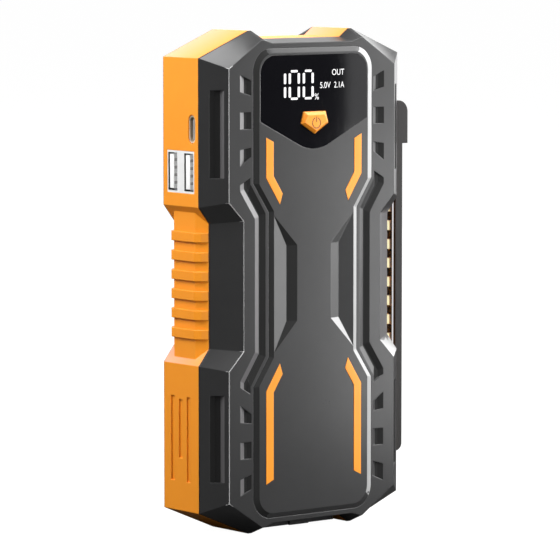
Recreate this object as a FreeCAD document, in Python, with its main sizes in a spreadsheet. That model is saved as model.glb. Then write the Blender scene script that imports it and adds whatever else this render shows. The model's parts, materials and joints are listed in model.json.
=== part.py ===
import FreeCAD, Part
import math
import operator
import os
import Sketcher

# A jump starter pack: two dark shells round an orange frame, with a display, USB ports,
# a battery of four cells, a jump output under a rubber cover, and a lamp arm on its side.
# Lengths are millimetres. X points to the pack's right, Y to its back and Z up.
# Pieces are drawn about the housing's centre, and each one's Placement then stands the
# pack on Z = 0, with the middle of its whole width at X = 0.

SIZES = {
    # Frame outline, the orange band round the pack's edge
    "half_height": 83.5,
    "band_half_width": 42.4,
    "band_half_depth": 9.55,
    "ridge_inner": 20.6,
    "ridge_outer": 22.0,
    "chamfer_start": 74.95,
    "chamfer_drop": 0.45,
    "notch_half_width": 17.0,
    "notch_floor": 80.8,
    "ledge_height": 26.1,
    "neck_half_width": 38.1,
    "neck_half_height": 20.6,
    "frame_wall": 2.4,
    # Front face outline, the same shape drawn in
    "half_depth": 16.6,
    "front_half_width": 35.2,
    "front_ridge_inner": 20.4,
    "front_ridge_outer": 21.6,
    "front_ridge_height": 80.55,
    "front_chamfer_start": 71.5,
    "front_notch_floor": 79.5,
    "front_ledge_height": 27.75,
    "front_neck_half_width": 29.1,
    "front_neck_half_height": 21.5,
    # Shell walls, and the slots in their slanted sides
    "shell_wall": 2.0,
    "slant_inset": 2.8,
    "front_inset": 0.8,
    "cavity_corner": 70.7,
    "cavity_top_half_width": 23.5,
    "cavity_mouth_top": 78.0,
    "cavity_mouth_top_half_width": 25.5,
    "slot_centre": 50.15,
    "slot_half_height": 14.35,
    "slot_start": 3.65,
    "slot_width": 4.8,
    "slot_depth": 1.2,
    "slot_slope": 1.45,
    # Sunk channels beside the panel and the fan of vents above and below them
    "relief": 0.65,
    "relief_run": 2.0,
    "relief_end": 0.7,
    "channel_end": 26.3,
    "channel_end_high": 35.8,
    "channel_end_low": 33.4,
    "channel_outer": 30.6,
    "channel_shoulder_high": 33.3,
    "channel_shoulder_low": 31.3,
    "channel_waist_outer": 24.45,
    "channel_waist_inner": 20.1,
    "channel_waist_low": 22.0,
    "channel_waist_high": 23.7,
    "vent_inner": 26.0,
    "vent_outer": 30.6,
    "vent_centre": 54.4,
    "vent_pitch": 12.25,
    "vent_half_height": 2.75,
    "vent_inner_run": 1.5,
    "vent_past": 1.0,
    # Screw posts and screws
    "post_x": 30.0,
    "post_z": 66.0,
    "front_post_radius": 3.0,
    "rear_post_radius": 3.8,
    "screw_radius": 1.25,
    "screw_hole_radius": 1.5,
    "screw_head_radius": 2.3,
    "screw_head_height": 1.7,
    "screw_seat": 9.0,
    "screw_seat_radius": 2.6,
    "screw_end": 4.0,
    "pilot_depth": 5.5,
    "fit": 0.01,
    "boss_radius": 2.4,
    "boss_x": 21.0,
    "boss_low": 32.5,
    "boss_high": 73.2,
    "power_boss_left": 18.0,
    "power_boss_high": 71.5,
    "small_head_radius": 1.9,
    "small_head_height": 1.4,
    # Front panel, the raised plate
    "panel_half_width": 25.2,
    "panel_half_height": 77.8,
    "panel_corner": 7.5,
    "panel_waist": 18.75,
    "panel_shoulder": 33.7,
    "panel_waist_height": 24.0,
    "panel_seat": 1.0,
    "panel_rise": 0.6,
    "panel_top_half_width": 23.1,
    "panel_top_half_height": 76.2,
    "panel_top_corner": 6.0,
    "panel_top_waist": 17.0,
    "panel_top_waist_height": 24.2,
    "dish_inner": 7.2,
    "dish_valley": 11.1,
    "dish_half_height": 12.6,
    "dish_corner": 22.8,
    "dish_depth": 0.8,
    # Display window and what stands behind it
    "window_half_width": 22.6,
    "window_top": 75.4,
    "window_corner": 6.0,
    "window_side": 53.85,
    "window_tip": 42.6,
    "tip_half": 6.24,
    "tip_radius": 14.0,
    "window_thickness": 1.0,
    "display_half_width": 15.0,
    "display_low": 59.3,
    "display_high": 72.7,
    "display_front": 15.9,
    "display_gap": 0.3,
    "opening_half_width": 18.0,
    "opening_low": 47.5,
    "opening_high": 73.5,
    # Power button and its switch
    "button_centre": 52.9,
    "button_top": 56.6,
    "button_top_half": 4.65,
    "button_shoulder": 52.7,
    "button_shoulder_half": 5.75,
    "button_tip": 49.2,
    "button_gap": 0.15,
    "button_edge": 17.5,
    "button_face": 18.4,
    "button_bevel": 1.1,
    "flange_grow": 1.1,
    "flange_front": 15.5,
    "flange_back": 14.7,
    "plunger_radius": 1.5,
    "plunger_back": 14.0,
    "stem_radius": 1.6,
    "stem_back": 10.9,
    "stem_hole_radius": 1.9,
    "stem_hole_back": 10.1,
    "switch_front": 12.3,
    "switch_half": 3.0,
    # Inlays, the orange strips in the panel
    "inlay_outer": 20.3,
    "inlay_inner": 17.2,
    "inlay_bend": 35.3,
    "inlay_inner_bend": 35.85,
    "inlay_foot_x": 14.55,
    "inlay_foot": 26.4,
    "inlay_point_x": 13.4,
    "inlay_point": 29.95,
    "upper_inlay_end": 48.6,
    "lower_inlay_end": 66.4,
    "inlay_end_slant": 1.5,
    "inlay_depth": 0.8,
    "inlay_proud": 0.1,
    # Boards
    "main_board_front": 8.8,
    "main_board_back": 7.6,
    "main_board_left": 39.7,
    "main_board_right": 24.0,
    "main_board_low": 28.0,
    "main_board_high": 76.0,
    "main_board_cut_x": 33.0,
    "main_board_cut_z": 71.6,
    "post_clearance": 0.6,
    "power_board_front": 4.0,
    "power_board_back": 5.6,
    "power_board_left": 24.0,
    "power_board_right": 25.0,
    "power_board_low": 29.0,
    "power_board_high": 75.0,
    "coil_x": 2.0,
    "coil_z": 40.0,
    "coil_radius": 5.5,
    "coil_height": 6.0,
    "can_left": -12.0,
    "can_right": -2.5,
    "can_z": 60.0,
    "can_radius": 4.0,
    "can_height": 9.0,
    "chip_left": 7.0,
    "chip_low": 55.0,
    "chip_width": 5.0,
    "chip_height": 6.0,
    "chip_thickness": 1.5,
    "chip_pitch": 7.0,
    "chip_rise": 8.0,
    "header_left": 2.0,
    "header_right": 22.0,
    "header_low": 49.0,
    "header_high": 51.5,
    # USB sockets on the left side
    "usb_centre": 37.4,
    "usb_port_offset": 4.35,
    "usb_port_half_width": 2.45,
    "usb_port_half_height": 6.25,
    "usb_plate_half_depth": 7.25,
    "usb_plate_half_height": 6.95,
    "usb_shell_half_height": 6.5,
    "usb_shell_back": 7.05,
    "usb_shell_end": 25.0,
    "usb_cavity_end": 27.0,
    "tongue_start": 40.6,
    "tongue_shift": 1.15,
    "tongue_half_width": 1.0,
    "tongue_half_height": 5.55,
    "usb_contact_half_width": 0.6,
    "usb_contact_thickness": 0.15,
    "usb_contact_start": 40.2,
    "usb_contact_end": 30.0,
    "usb_contact_inner": 1.0,
    "usb_contact_outer": 3.5,
    "usb_c_centre": 51.6,
    "usb_c_radius": 1.63,
    "usb_c_half_height": 4.47,
    "usb_c_wall": 0.25,
    "usb_c_start": 42.1,
    "usb_c_end": 34.8,
    "usb_c_hole_gap": 0.27,
    "usb_c_tongue_half_width": 0.35,
    "usb_c_tongue_half_height": 3.35,
    "usb_c_tongue_start": 41.5,
    # Ribbed grip and grooves on the frame's left side
    "grip_x": 40.9,
    "grip_half_depth": 5.75,
    "grip_half_height": 25.0,
    "rib_x": 41.8,
    "rib_half_depth": 6.04,
    "rib_shoulder_x": 40.24,
    "rib_shoulder": 8.15,
    "rib_height": 3.05,
    "rib_pitch": 6.4,
    "groove_centre": 0.4,
    "groove_pitch": 4.3,
    "groove_width": 2.0,
    "groove_depth": 0.5,
    "groove_high": 36.9,
    "groove_low": 65.2,
    "middle_groove_high": 37.9,
    "middle_groove_low": 57.4,
    # Battery
    "cell_half_width": 21.4,
    "cell_thickness": 5.8,
    "cell_pitch": 6.3,
    "cell_corner": 1.2,
    "cell_low": -48.5,
    "cell_high": 25.5,
    "seal_half_thickness": 0.6,
    "seal_low": -50.0,
    "tab_x": 12.0,
    "tab_half_width": 4.0,
    "tab_half_thickness": 0.15,
    "pad_half_width": 20.0,
    "pad_low": -46.0,
    "pad_high": 22.0,
    "pad_inner": 12.4,
    "pad_outer": 14.55,
    "link_board_low": -54.6,
    "link_board_high": -53.0,
    "link_board_half_width": 22.6,
    "link_board_half_depth": 12.0,
    "board_lead_x": -22.0,
    "board_lead_y": -5.0,
    "board_lead_radius": 0.5,
    "board_lead_bend": 3.0,
    "board_lead_high": 31.0,
    # Jump output in the bottom notch
    "contact_x": 5.5,
    "contact_bore": 2.5,
    "contact_radius": 3.1,
    "contact_mouth": -79.2,
    "bore_depth": 12.0,
    "contact_top": -65.0,
    "lead_radius": 2.6,
    "socket_half_width": 11.7,
    "socket_half_depth": 6.2,
    "socket_corner": 1.5,
    "socket_mouth": -80.6,
    "socket_floor": -68.5,
    "socket_top": -66.0,
    "socket_wall_side": 1.3,
    "socket_wall_front": 1.2,
    "socket_gap": 0.1,
    "socket_flange_low": -78.3,
    "socket_flange_high": -76.5,
    "socket_flange_side": 2.0,
    "socket_flange_front": 1.0,
    # Rubber cover of the jump output
    "cover_half_width": 15.6,
    "cover_front": 8.2,
    "cover_pivot_y": 7.9,
    "cover_pivot_z": -81.7,
    "cover_radius": 0.75,
    "cover_plug_half_width": 9.8,
    "cover_plug_half_depth": 4.2,
    "cover_plug_top": -79.9,
    "trunnion_end": 19.9,
    "trunnion_hole_radius": 0.82,
    "trunnion_hole_end": 20.4,
    "cover_tab_half_width": 4.0,
    "cover_tab_front": 9.3,
    # Lamp arm on the right side
    "pivot_x": 44.1,
    "pivot_z": 54.6,
    "knuckle_radius": 3.9,
    "knuckle_low": 43.9,
    "hinge_pocket_radius": 4.2,
    "hinge_pocket_half_depth": 8.7,
    "hinge_boss_x": 37.0,
    "hinge_boss_half_height": 6.4,
    "arm_inner": 42.7,
    "arm_outer": 45.7,
    "arm_low": -61.4,
    "arm_half_depth": 8.4,
    "arm_end_radius": 2.6,
    "clevis_half_depth": 3.1,
    "clevis_floor": 49.4,
    "lug_radius": 3.8,
    "lug_half_depth": 2.9,
    "lug_root": 38.0,
    "lug_hole_radius": 1.3,
    "lamp_pin_radius": 1.25,
    "lamp_pin_front": 7.0,
    "lamp_pin_back": 8.3,
    "lens_thickness": 0.8,
    "lens_half_depth": 7.4,
    "lens_low": -58.6,
    "lens_high": 41.4,
    "lens_ledge": 0.8,
    "lamp_board_front": 44.2,
    "lamp_board_back": 45.0,
    "led_front": 43.55,
    "led_column": 3.7,
    "led_pitch": 6.23,
    "led_lowest": -55.57,
    "led_half_width": 1.4,
    "led_half_height": 1.6,
}

# How each vent's inner end leans away from its outer end: row, lower edge, upper edge
VENT_LEANS = ((-1, 3.1, 0.65), (0, 0.0, 0.0), (1, -1.35, -2.0))
RIBS = 6
LED_ROWS = 16
CELLS = 4
BOTH_SIDES = (-1, 1)

doc = FreeCAD.newDocument("jump_starter_pack")


class Length:
    """A number together with the spreadsheet formula that gives it."""

    def __init__(self, value, formula):
        self.value = value
        self.formula = formula

    def __add__(self, other):
        return combine(self, "+", other)

    def __radd__(self, other):
        return combine(other, "+", self)

    def __sub__(self, other):
        return combine(self, "-", other)

    def __rsub__(self, other):
        return combine(other, "-", self)

    def __mul__(self, other):
        return combine(self, "*", other)

    def __rmul__(self, other):
        return combine(other, "*", self)

    def __truediv__(self, other):
        return combine(self, "/", other)

    def __neg__(self):
        return combine(0.0, "-", self)


OPERATIONS = {"+": operator.add, "-": operator.sub, "*": operator.mul, "/": operator.truediv}


def as_length(number):
    if isinstance(number, Length):
        return number
    return Length(float(number), "(%s)" % float(number))


def combine(left, sign, right):
    a, b = as_length(left), as_length(right)
    value = OPERATIONS[sign](a.value, b.value)
    return Length(value, "(%s %s %s)" % (a.formula, sign, b.formula))


def square_root(length):
    return Length(math.sqrt(length.value), "sqrt(%s)" % length.formula)


class Sizes:
    """The driving dimensions by name, each one a cell of the spreadsheet."""

    def __getattr__(self, name):
        return Length(SIZES[name], "Sizes." + name)


def fill_sheet():
    sheet = doc.addObject("Spreadsheet::Sheet", "Sizes")
    for row, (name, value) in enumerate(SIZES.items(), start=1):
        sheet.set("A%d" % row, name)
        sheet.set("B%d" % row, str(value))
        sheet.setAlias("B%d" % row, name)
    doc.recompute()


fill_sheet()
size = Sizes()
pieces = []


def bind(thing, path, length):
    thing.setExpression(path, as_length(length).formula)


def stand(piece, name):
    """Name a finished sub-part and move it from the housing's centre to the pack's frame."""
    overhang = size.pivot_x + size.knuckle_radius - size.band_half_width
    piece.Label = name
    bind(piece, "Placement.Base.x", -overhang / 2)
    bind(piece, "Placement.Base.z", size.half_height)
    pieces.append(piece)


# Sketches

PLANES = {"front": "XZ_Plane", "side": "YZ_Plane", "top": "XY_Plane"}


def new_body(name):
    return doc.addObject("PartDesign::Body", name)


def datum(body, role):
    return next(item for item in body.Origin.OriginFeatures if item.Role == role)


def place_sketch(body, name, plane, offset):
    drawing = body.newObject("Sketcher::SketchObject", name)
    drawing.AttachmentSupport = [(datum(body, PLANES[plane]), "")]
    drawing.MapMode = "FlatFace"
    bind(drawing, "AttachmentOffset.Base.z", offset)
    return drawing


def sketch(body, name, plane, loops, offset=0):
    """A sketch on one of the body's own planes, moved along the plane's normal.

    A loop is a circle, as (u, v, radius), or a list of corners in anticlockwise order. A
    corner is (u, v), or (u, v, radius) where an arc runs from it to the next corner.
    """
    drawing = place_sketch(body, name, plane, offset)
    edges, rules = [], []
    for loop in loops:
        if isinstance(loop, tuple):
            add_circle(edges, rules, loop)
        else:
            add_corners(edges, rules, loop, closed=True)
    fill_sketch(drawing, edges, rules)
    return drawing


def fill_sketch(drawing, edges, rules):
    """Draw the edges, then constrain them, with each dimension bound to its formula."""
    drawing.addGeometry(edges, False)
    drawing.addConstraint([rule for rule, length in rules])
    for index, (rule, length) in enumerate(rules):
        if length is not None:
            bind(drawing, "Constraints[%d]" % index, length)


def distance(rules, kind, edge, point, length):
    """A driving distance from the sketch's origin to a point of an edge."""
    rules.append((Sketcher.Constraint(kind, -1, 1, edge, point, length.value), length))


def add_circle(edges, rules, circle):
    u, v, radius = (as_length(number) for number in circle)
    centre = FreeCAD.Vector(u.value, v.value, 0)
    edge = len(edges)
    edges.append(Part.Circle(centre, FreeCAD.Vector(0, 0, 1), radius.value))
    distance(rules, "DistanceX", edge, 3, u)
    distance(rules, "DistanceY", edge, 3, v)
    rules.append((Sketcher.Constraint("Radius", edge, radius.value), radius))


def arc_between(start, end, radius):
    """The anticlockwise arc from one point to another, at most half a turn."""
    along = end - start
    rise = math.sqrt(max(0.0, radius**2 - (along.Length / 2) ** 2))
    left = FreeCAD.Vector(-along.y, along.x, 0).normalize()
    centre = (start + end) * 0.5 + left * rise
    first = math.atan2(start.y - centre.y, start.x - centre.x)
    last = math.atan2(end.y - centre.y, end.x - centre.x)
    circle = Part.Circle(centre, FreeCAD.Vector(0, 0, 1), radius)
    return Part.ArcOfCircle(circle, first, last if last > first else last + 2 * math.pi)


def add_corners(edges, rules, corners, closed):
    corners = [tuple(as_length(number) for number in corner) for corner in corners]
    points = [FreeCAD.Vector(corner[0].value, corner[1].value, 0) for corner in corners]
    ends = points[1:] + points[:1] if closed else points[1:]
    first, count = len(edges), len(ends)
    for index in range(count if closed else count - 1):
        following = first + (index + 1) % count
        rules.append((Sketcher.Constraint("Coincident", first + index, 2, following, 1), None))
    for index, (corner, start) in enumerate(zip(corners, points)):
        edge, end = (first + index, 1) if index < count else (first + index - 1, 2)
        distance(rules, "DistanceX", edge, end, corner[0])
        distance(rules, "DistanceY", edge, end, corner[1])
        if len(corner) == 3:
            edges.append(arc_between(start, ends[index], corner[2].value))
            add_radius(rules, edge, corner, start, ends[index])
        elif index < count:
            edges.append(Part.LineSegment(start, ends[index]))


def add_radius(rules, edge, corner, start, end):
    """An arc's radius, or for half a turn its centre, level with or under its ends."""
    u, v, radius = corner
    if (end - start).Length < 1.999 * radius.value:
        rules.append((Sketcher.Constraint("Radius", edge, radius.value), radius))
    elif abs(end.y - start.y) < abs(end.x - start.x):
        distance(rules, "DistanceY", edge, 3, v)
    else:
        distance(rules, "DistanceX", edge, 3, u)


def flip(corners, across=1, up=1):
    """The same corners on the other side of a centre line, still anticlockwise."""
    flipped = []
    for index in reversed(range(len(corners))):
        u, v = corners[index][:2]
        flipped.append((u * across, v * up) + corners[index - 1][2:])
    return flipped


def all_round(quarter):
    """An upper right quarter, from the waist up to the top, repeated in the other three."""
    upper = quarter + flip(quarter, across=-1)
    return upper + flip(upper, up=-1)


def rectangle(low_u, high_u, low_v, high_v):
    return [(low_u, low_v), (high_u, low_v), (high_u, high_v), (low_u, high_v)]


def rounded(half_u, half_v, corner):
    """A rectangle about the origin with round corners."""
    return all_round([(half_u, half_v - corner, corner), (half_u - corner, half_v)])


def bevelled(half_u, half_v, corner):
    """A rectangle about the origin with its corners cut off."""
    return all_round([(half_u, half_v - corner), (half_u - corner, half_v)])


def upright_slot(centre, half_width, low, high):
    """A slot along v with round ends."""
    return [
        (centre + half_width, low + half_width),
        (centre + half_width, high - half_width, half_width),
        (centre - half_width, high - half_width),
        (centre - half_width, low + half_width, half_width),
    ]


# Features and solids

def extrude(body, kind, profile, length, reverse, both):
    feature = body.newObject("PartDesign::" + kind, profile.Name + "_" + kind.lower())
    feature.Profile = profile
    bind(feature, "Length", length)
    feature.Reversed = reverse
    feature.SideType = "Symmetric" if both else "One side"
    return feature


def pad(body, profile, length, reverse=False, both=False):
    return extrude(body, "Pad", profile, length, reverse, both)


def pocket(body, profile, length, reverse=False, both=False):
    return extrude(body, "Pocket", profile, length, reverse, both)


def loft(body, start, end, cut=False):
    kind = "SubtractiveLoft" if cut else "AdditiveLoft"
    feature = body.newObject("PartDesign::" + kind, start.Name + "_loft")
    feature.Profile = start
    feature.Sections = [end]
    feature.Ruled = True
    return feature


def box(name, low, high):
    """A block between two corners."""
    block = doc.addObject("Part::Box", name)
    for side, edge, start, end in zip("xyz", ("Length", "Width", "Height"), low, high):
        bind(block, "Placement.Base." + side, start)
        bind(block, edge, as_length(end) - start)
    return block


TURNS = {
    "y": FreeCAD.Rotation(FreeCAD.Vector(1, 0, 0), -90),
    "z": FreeCAD.Rotation(),
}


def rod(name, axis, start, radius, length, six_sided=False):
    """A round or six sided rod that runs from a point along an axis."""
    shape = doc.addObject("Part::Prism" if six_sided else "Part::Cylinder", name)
    shape.Placement = FreeCAD.Placement(FreeCAD.Vector(), TURNS[axis])
    for side, place in zip("xyz", start):
        bind(shape, "Placement.Base." + side, place)
    bind(shape, "Circumradius" if six_sided else "Radius", radius)
    bind(shape, "Height", length)
    return shape


def cut(name, base, tool):
    result = doc.addObject("Part::Cut", name)
    result.Base = base
    result.Tool = tool
    return result


def fuse(name, parts):
    result = doc.addObject("Part::MultiFuse", name)
    result.Shapes = parts
    return result


def group(name, parts):
    """Separate solids that share one node."""
    result = doc.addObject("Part::Compound", name)
    result.Links = parts
    return result


# The pack's outline, and what both shells share

def band_quarter(inset=0):
    """The band's outline, drawn in by a wall's thickness."""
    return [
        (size.neck_half_width - inset, size.neck_half_height),
        (size.band_half_width - inset, size.ledge_height),
        (size.band_half_width - inset, size.chamfer_start - inset * size.chamfer_drop),
        (size.ridge_outer, size.half_height - inset),
        (size.ridge_inner, size.half_height - inset),
        (size.notch_half_width, size.notch_floor - inset),
    ]


def face_quarter(inset=0, drop=0):
    """The front or rear face's outline, drawn in at its sides and down at its top."""
    return [
        (size.front_neck_half_width - inset, size.front_neck_half_height),
        (size.front_half_width - inset, size.front_ledge_height),
        (size.front_half_width - inset, size.front_chamfer_start - inset),
        (size.front_ridge_outer, size.front_ridge_height - drop),
        (size.front_ridge_inner, size.front_ridge_height - drop),
        (size.notch_half_width, size.front_notch_floor - drop),
    ]


def cavity_outlines():
    """The hollow's outline at its mouth and its floor, each side parallel to its other end."""
    neck = (size.front_neck_half_width - size.front_inset, size.front_neck_half_height)
    ledge = (size.front_half_width - size.front_inset, size.front_ledge_height)
    corner = (ledge[0], size.cavity_corner)
    top = (size.cavity_top_half_width, size.front_notch_floor - size.shell_wall)
    ledge_slope = (ledge[1] - neck[1]) / (ledge[0] - neck[0])
    top_slope = (top[1] - corner[1]) / (corner[0] - top[0])
    side = size.band_half_width - size.slant_inset
    mouth_neck = (size.neck_half_width - size.slant_inset, size.neck_half_height)
    mouth_ledge = (side, mouth_neck[1] + (side - mouth_neck[0]) * ledge_slope)
    mouth_top = (size.cavity_mouth_top_half_width, size.cavity_mouth_top)
    mouth_corner = (side, mouth_top[1] - (side - mouth_top[0]) * top_slope)
    mouth = [mouth_neck, mouth_ledge, mouth_corner, mouth_top]
    return all_round(mouth), all_round([neck, ledge, corner, top])


def hollow_shell(name, side):
    """A moulded half, slanted from the band to the face and open at the band.

    side is 1 for the front half and -1 for the rear half.
    """
    body = new_body(name)
    wall = size.shell_wall
    rim = sketch(body, "rim", "front", [all_round(band_quarter())], size.band_half_depth * side)
    face = sketch(body, "face", "front", [all_round(face_quarter())], size.half_depth * side)
    loft(body, rim, face)
    mouth_outline, floor_outline = cavity_outlines()
    mouth = sketch(body, "mouth", "front", [mouth_outline], size.band_half_depth * side)
    inside = sketch(body, "inside", "front", [floor_outline], (size.half_depth - wall) * side)
    loft(body, mouth, inside, cut=True)
    side_slots(body, side)
    return body


def slant_point(along, sink):
    """A point on the slanted side, along it from the band and sunk below its surface."""
    run = size.band_half_width - size.front_half_width
    rise = size.half_depth - size.band_half_depth
    slant = square_root(run * run + rise * rise)
    x = size.band_half_width - (run * along + rise * sink) / slant
    depth = size.band_half_depth + (rise * along - run * sink) / slant
    return x, depth


def side_slots(body, side):
    """Long grooves with sloping sides in the slants, above and below the waist."""
    near, far = size.slot_start, size.slot_start + size.slot_width
    slope, deep = size.slot_slope, size.slot_depth
    section = [slant_point(near - slope, -deep), slant_point(far + slope, -deep)]
    section += [slant_point(far - slope, deep), slant_point(near + slope, deep)]
    loops = []
    for across in BOTH_SIDES:
        loops.append([(x * across, depth * -side) for x, depth in section])
    for up in BOTH_SIDES:
        profile = sketch(body, "slot", "top", loops, size.slot_centre * up)
        pocket(body, profile, size.slot_half_height * 2, both=True)


def post_places():
    return [(size.post_x * x, size.post_z * z) for x in BOTH_SIDES for z in BOTH_SIDES]


def main_boss_places():
    """Two opposite corners of the main board."""
    return [(-size.boss_x, size.boss_high), (size.boss_x, size.boss_low)]


def power_boss_places():
    """Two opposite corners of the power board."""
    return [(-size.power_boss_left, size.power_boss_high), (size.boss_x, size.boss_low)]


def circles(places, radius):
    return [(x, z, radius) for x, z in places]


def hexagon(place, radius):
    """Six corners, this far from the place, with two of them straight above and below."""
    x, z = place
    wide, high = radius * math.cos(math.pi / 6), radius / 2
    return [(x, z - radius), (x + wide, z - high), (x + wide, z + high),
            (x, z + radius), (x - wide, z + high), (x - wide, z - high)]


def posts(body, name, side, places, radius, start):
    """Six sided posts from a distance off the middle out to the wall."""
    outlines = [hexagon(place, radius) for place in places]
    profile = sketch(body, name, "front", outlines, start * side)
    pad(body, profile, size.half_depth - size.shell_wall - start, reverse=side < 0)


def holes(body, name, side, places, radius, start, depth):
    """Round holes from a distance off the middle, outwards."""
    profile = sketch(body, name, "front", circles(places, radius), start * side)
    pocket(body, profile, depth, reverse=side > 0)


# Shells and frame

def front_shell():
    """Front half: panel seat, display opening, channels, vents and screw posts."""
    body = hollow_shell("front_shell", 1)
    vents(body)
    face = size.half_depth
    seat = sketch(body, "panel_seat", "front", [panel_foot()], face)
    pocket(body, seat, size.panel_seat)
    half_width = size.opening_half_width
    window = rectangle(-half_width, half_width, size.opening_low, size.opening_high)
    opening = sketch(body, "opening", "front", [window], face)
    pocket(body, opening, size.shell_wall)
    for across in BOTH_SIDES:
        channel(body, across)
    posts(body, "posts", 1, post_places(), size.front_post_radius, as_length(0))
    holes(body, "pilots", 1, post_places(), size.screw_radius + size.fit, 0, size.pilot_depth)
    board = size.main_board_front
    posts(body, "board_bosses", 1, main_boss_places(), size.boss_radius, board)
    stand(body, "front_shell")


def channel(body, across):
    """The V shaped channel that follows the panel's waist."""
    run, end = size.relief_run, size.relief_end
    drop = size.channel_end_high - size.channel_shoulder_high
    end_slope = drop / (size.channel_outer - size.channel_end)
    climb = size.channel_end_low - size.channel_waist_high
    waist_slope = climb / (size.channel_end - size.channel_waist_inner)
    mouth = [
        (size.channel_end, size.channel_end_high),
        (size.channel_outer, size.channel_shoulder_high),
        (size.channel_outer, size.channel_shoulder_low),
        (size.channel_waist_outer, size.channel_waist_low),
    ]
    mouth_inner = [
        (size.channel_waist_inner, size.channel_waist_high),
        (size.channel_end, size.channel_end_low),
    ]
    floor = [
        (size.channel_end + end, size.channel_end_high - end),
        (size.channel_outer - run, size.channel_shoulder_high - end + (run + end) * end_slope),
        (size.channel_outer - run, size.channel_shoulder_low + end),
        (size.channel_waist_outer - run, size.channel_waist_low + end),
    ]
    floor_inner = [
        (size.channel_waist_inner + run, size.channel_waist_high - end),
        (size.channel_end + end, size.channel_end_low - end - (run - end) * waist_slope),
    ]
    top = mouth + flip(mouth, up=-1) + flip(mouth_inner, up=-1) + mouth_inner
    bottom = floor + flip(floor, up=-1) + flip(floor_inner, up=-1) + floor_inner
    top = [(x * across, z) for x, z in top]
    bottom = [(x * across, z) for x, z in bottom]
    mouth = sketch(body, "channel", "front", [top], size.half_depth)
    bottom = sketch(body, "channel_floor", "front", [bottom], size.half_depth - size.relief)
    loft(body, mouth, bottom, cut=True)


def vent_ends(row, low_lean, high_lean):
    """A vent's lower and upper end, each as its height outside and its lean towards the inside."""
    middle = size.vent_centre + size.vent_pitch * row
    return (middle - size.vent_half_height, low_lean), (middle + size.vent_half_height, high_lean)


def vent_bars():
    """The plain stretches below, between and above the fan of vents, as seen from the front."""
    ends = []
    for row, low_lean, high_lean in VENT_LEANS:
        ends += vent_ends(row, low_lean, high_lean)
    past = size.vent_past
    lowest, highest = ends[0][0] - past * 2, ends[-1][0] + past * 2
    ends = [(lowest, 0)] + ends + [(highest, 0)]
    length = size.vent_outer - size.vent_inner
    stretch = (length + past) / length
    inner, outer = size.vent_inner - past, size.vent_outer + past
    bars = []
    for (low, low_lean), (high, high_lean) in zip(ends[::2], ends[1::2]):
        bars.append([
            (inner, low + stretch * low_lean),
            (outer, low - (stretch - 1) * low_lean),
            (outer, high - (stretch - 1) * high_lean),
            (inner, high + stretch * high_lean),
        ])
    return bars


def vents(body):
    """Beside each channel a groove with sloping sides, parted into a fan by leaning bars."""
    face, floor = -size.half_depth, -size.half_depth + size.relief
    inner, outer = size.vent_inner, size.vent_outer
    section = [(inner, face), (inner + size.vent_inner_run, floor)]
    section += [(outer - size.relief_run, floor), (outer, face)]
    grooves, bars = [], []
    for across in BOTH_SIDES:
        grooves.append([(x * across, y) for x, y in section])
        for up in BOTH_SIDES:
            bars += [[(x * across, z * up) for x, z in bar] for bar in vent_bars()]
    length = size.vent_pitch * 2 + size.vent_half_height * 2 + size.vent_past * 2
    for up in BOTH_SIDES:
        profile = sketch(body, "vent_groove", "top", grooves, size.vent_centre * up)
        pocket(body, profile, length, both=True)
    profile = sketch(body, "vent_bars", "front", bars, size.half_depth)
    pad(body, profile, size.relief, reverse=True)


def rear_shell():
    """Rear half: plain back, posts for the case screws and bosses for the power board."""
    body = hollow_shell("rear_shell", -1)
    seat = size.screw_seat
    posts(body, "posts", -1, post_places(), size.rear_post_radius, as_length(0))
    holes(body, "screw_holes", -1, post_places(), size.screw_hole_radius, 0, seat)
    head_room = size.half_depth - seat
    holes(body, "screw_seats", -1, post_places(), size.screw_seat_radius, seat, head_room)
    board = size.power_board_back
    posts(body, "board_bosses", -1, power_boss_places(), size.boss_radius, board)
    stand(body, "rear_shell")


def mid_frame():
    """The orange frame: band, ribbed grip, port openings, lamp hinge and cover hinge."""
    body = new_body("mid_frame")
    depth = size.band_half_depth * 2
    band = sketch(body, "band", "front", [all_round(band_quarter())])
    pad(body, band, depth, both=True)
    grip(body)
    inner = sketch(body, "inside", "front", [all_round(band_quarter(size.frame_wall))])
    pocket(body, inner, depth, both=True)
    lamp_hinge(body, depth)
    port_openings(body)
    grooves(body)
    output_opening(body)
    stand(body, "mid_frame")


def grip(body):
    """A chamfered block on the left of the waist, with six ribs round it."""
    root = -size.neck_half_width + size.frame_wall
    block = [
        (root, -size.band_half_depth),
        (root, size.band_half_depth),
        (-size.neck_half_width, size.band_half_depth),
        (-size.grip_x, size.grip_half_depth),
        (-size.grip_x, -size.grip_half_depth),
        (-size.neck_half_width, -size.band_half_depth),
    ]
    profile = sketch(body, "grip", "top", [block])
    pad(body, profile, size.grip_half_height * 2, both=True)
    ring = [
        (root, -size.band_half_depth),
        (root, size.band_half_depth),
        (-size.neck_half_width, size.band_half_depth),
        (-size.rib_shoulder_x, size.rib_shoulder),
        (-size.rib_x, size.rib_half_depth),
        (-size.rib_x, -size.rib_half_depth),
        (-size.rib_shoulder_x, -size.rib_shoulder),
        (-size.neck_half_width, -size.band_half_depth),
    ]
    reach = size.rib_pitch * (RIBS - 1)
    lowest = -reach / 2 - size.rib_height / 2
    rib = pad(body, sketch(body, "rib", "top", [ring], lowest), size.rib_height)
    ribs = body.newObject("PartDesign::LinearPattern", "ribs")
    ribs.Originals = [rib]
    ribs.Direction = (datum(body, "Z_Axis"), [""])
    bind(ribs, "Length", reach)
    ribs.Occurrences = RIBS
    body.Tip = ribs


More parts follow.
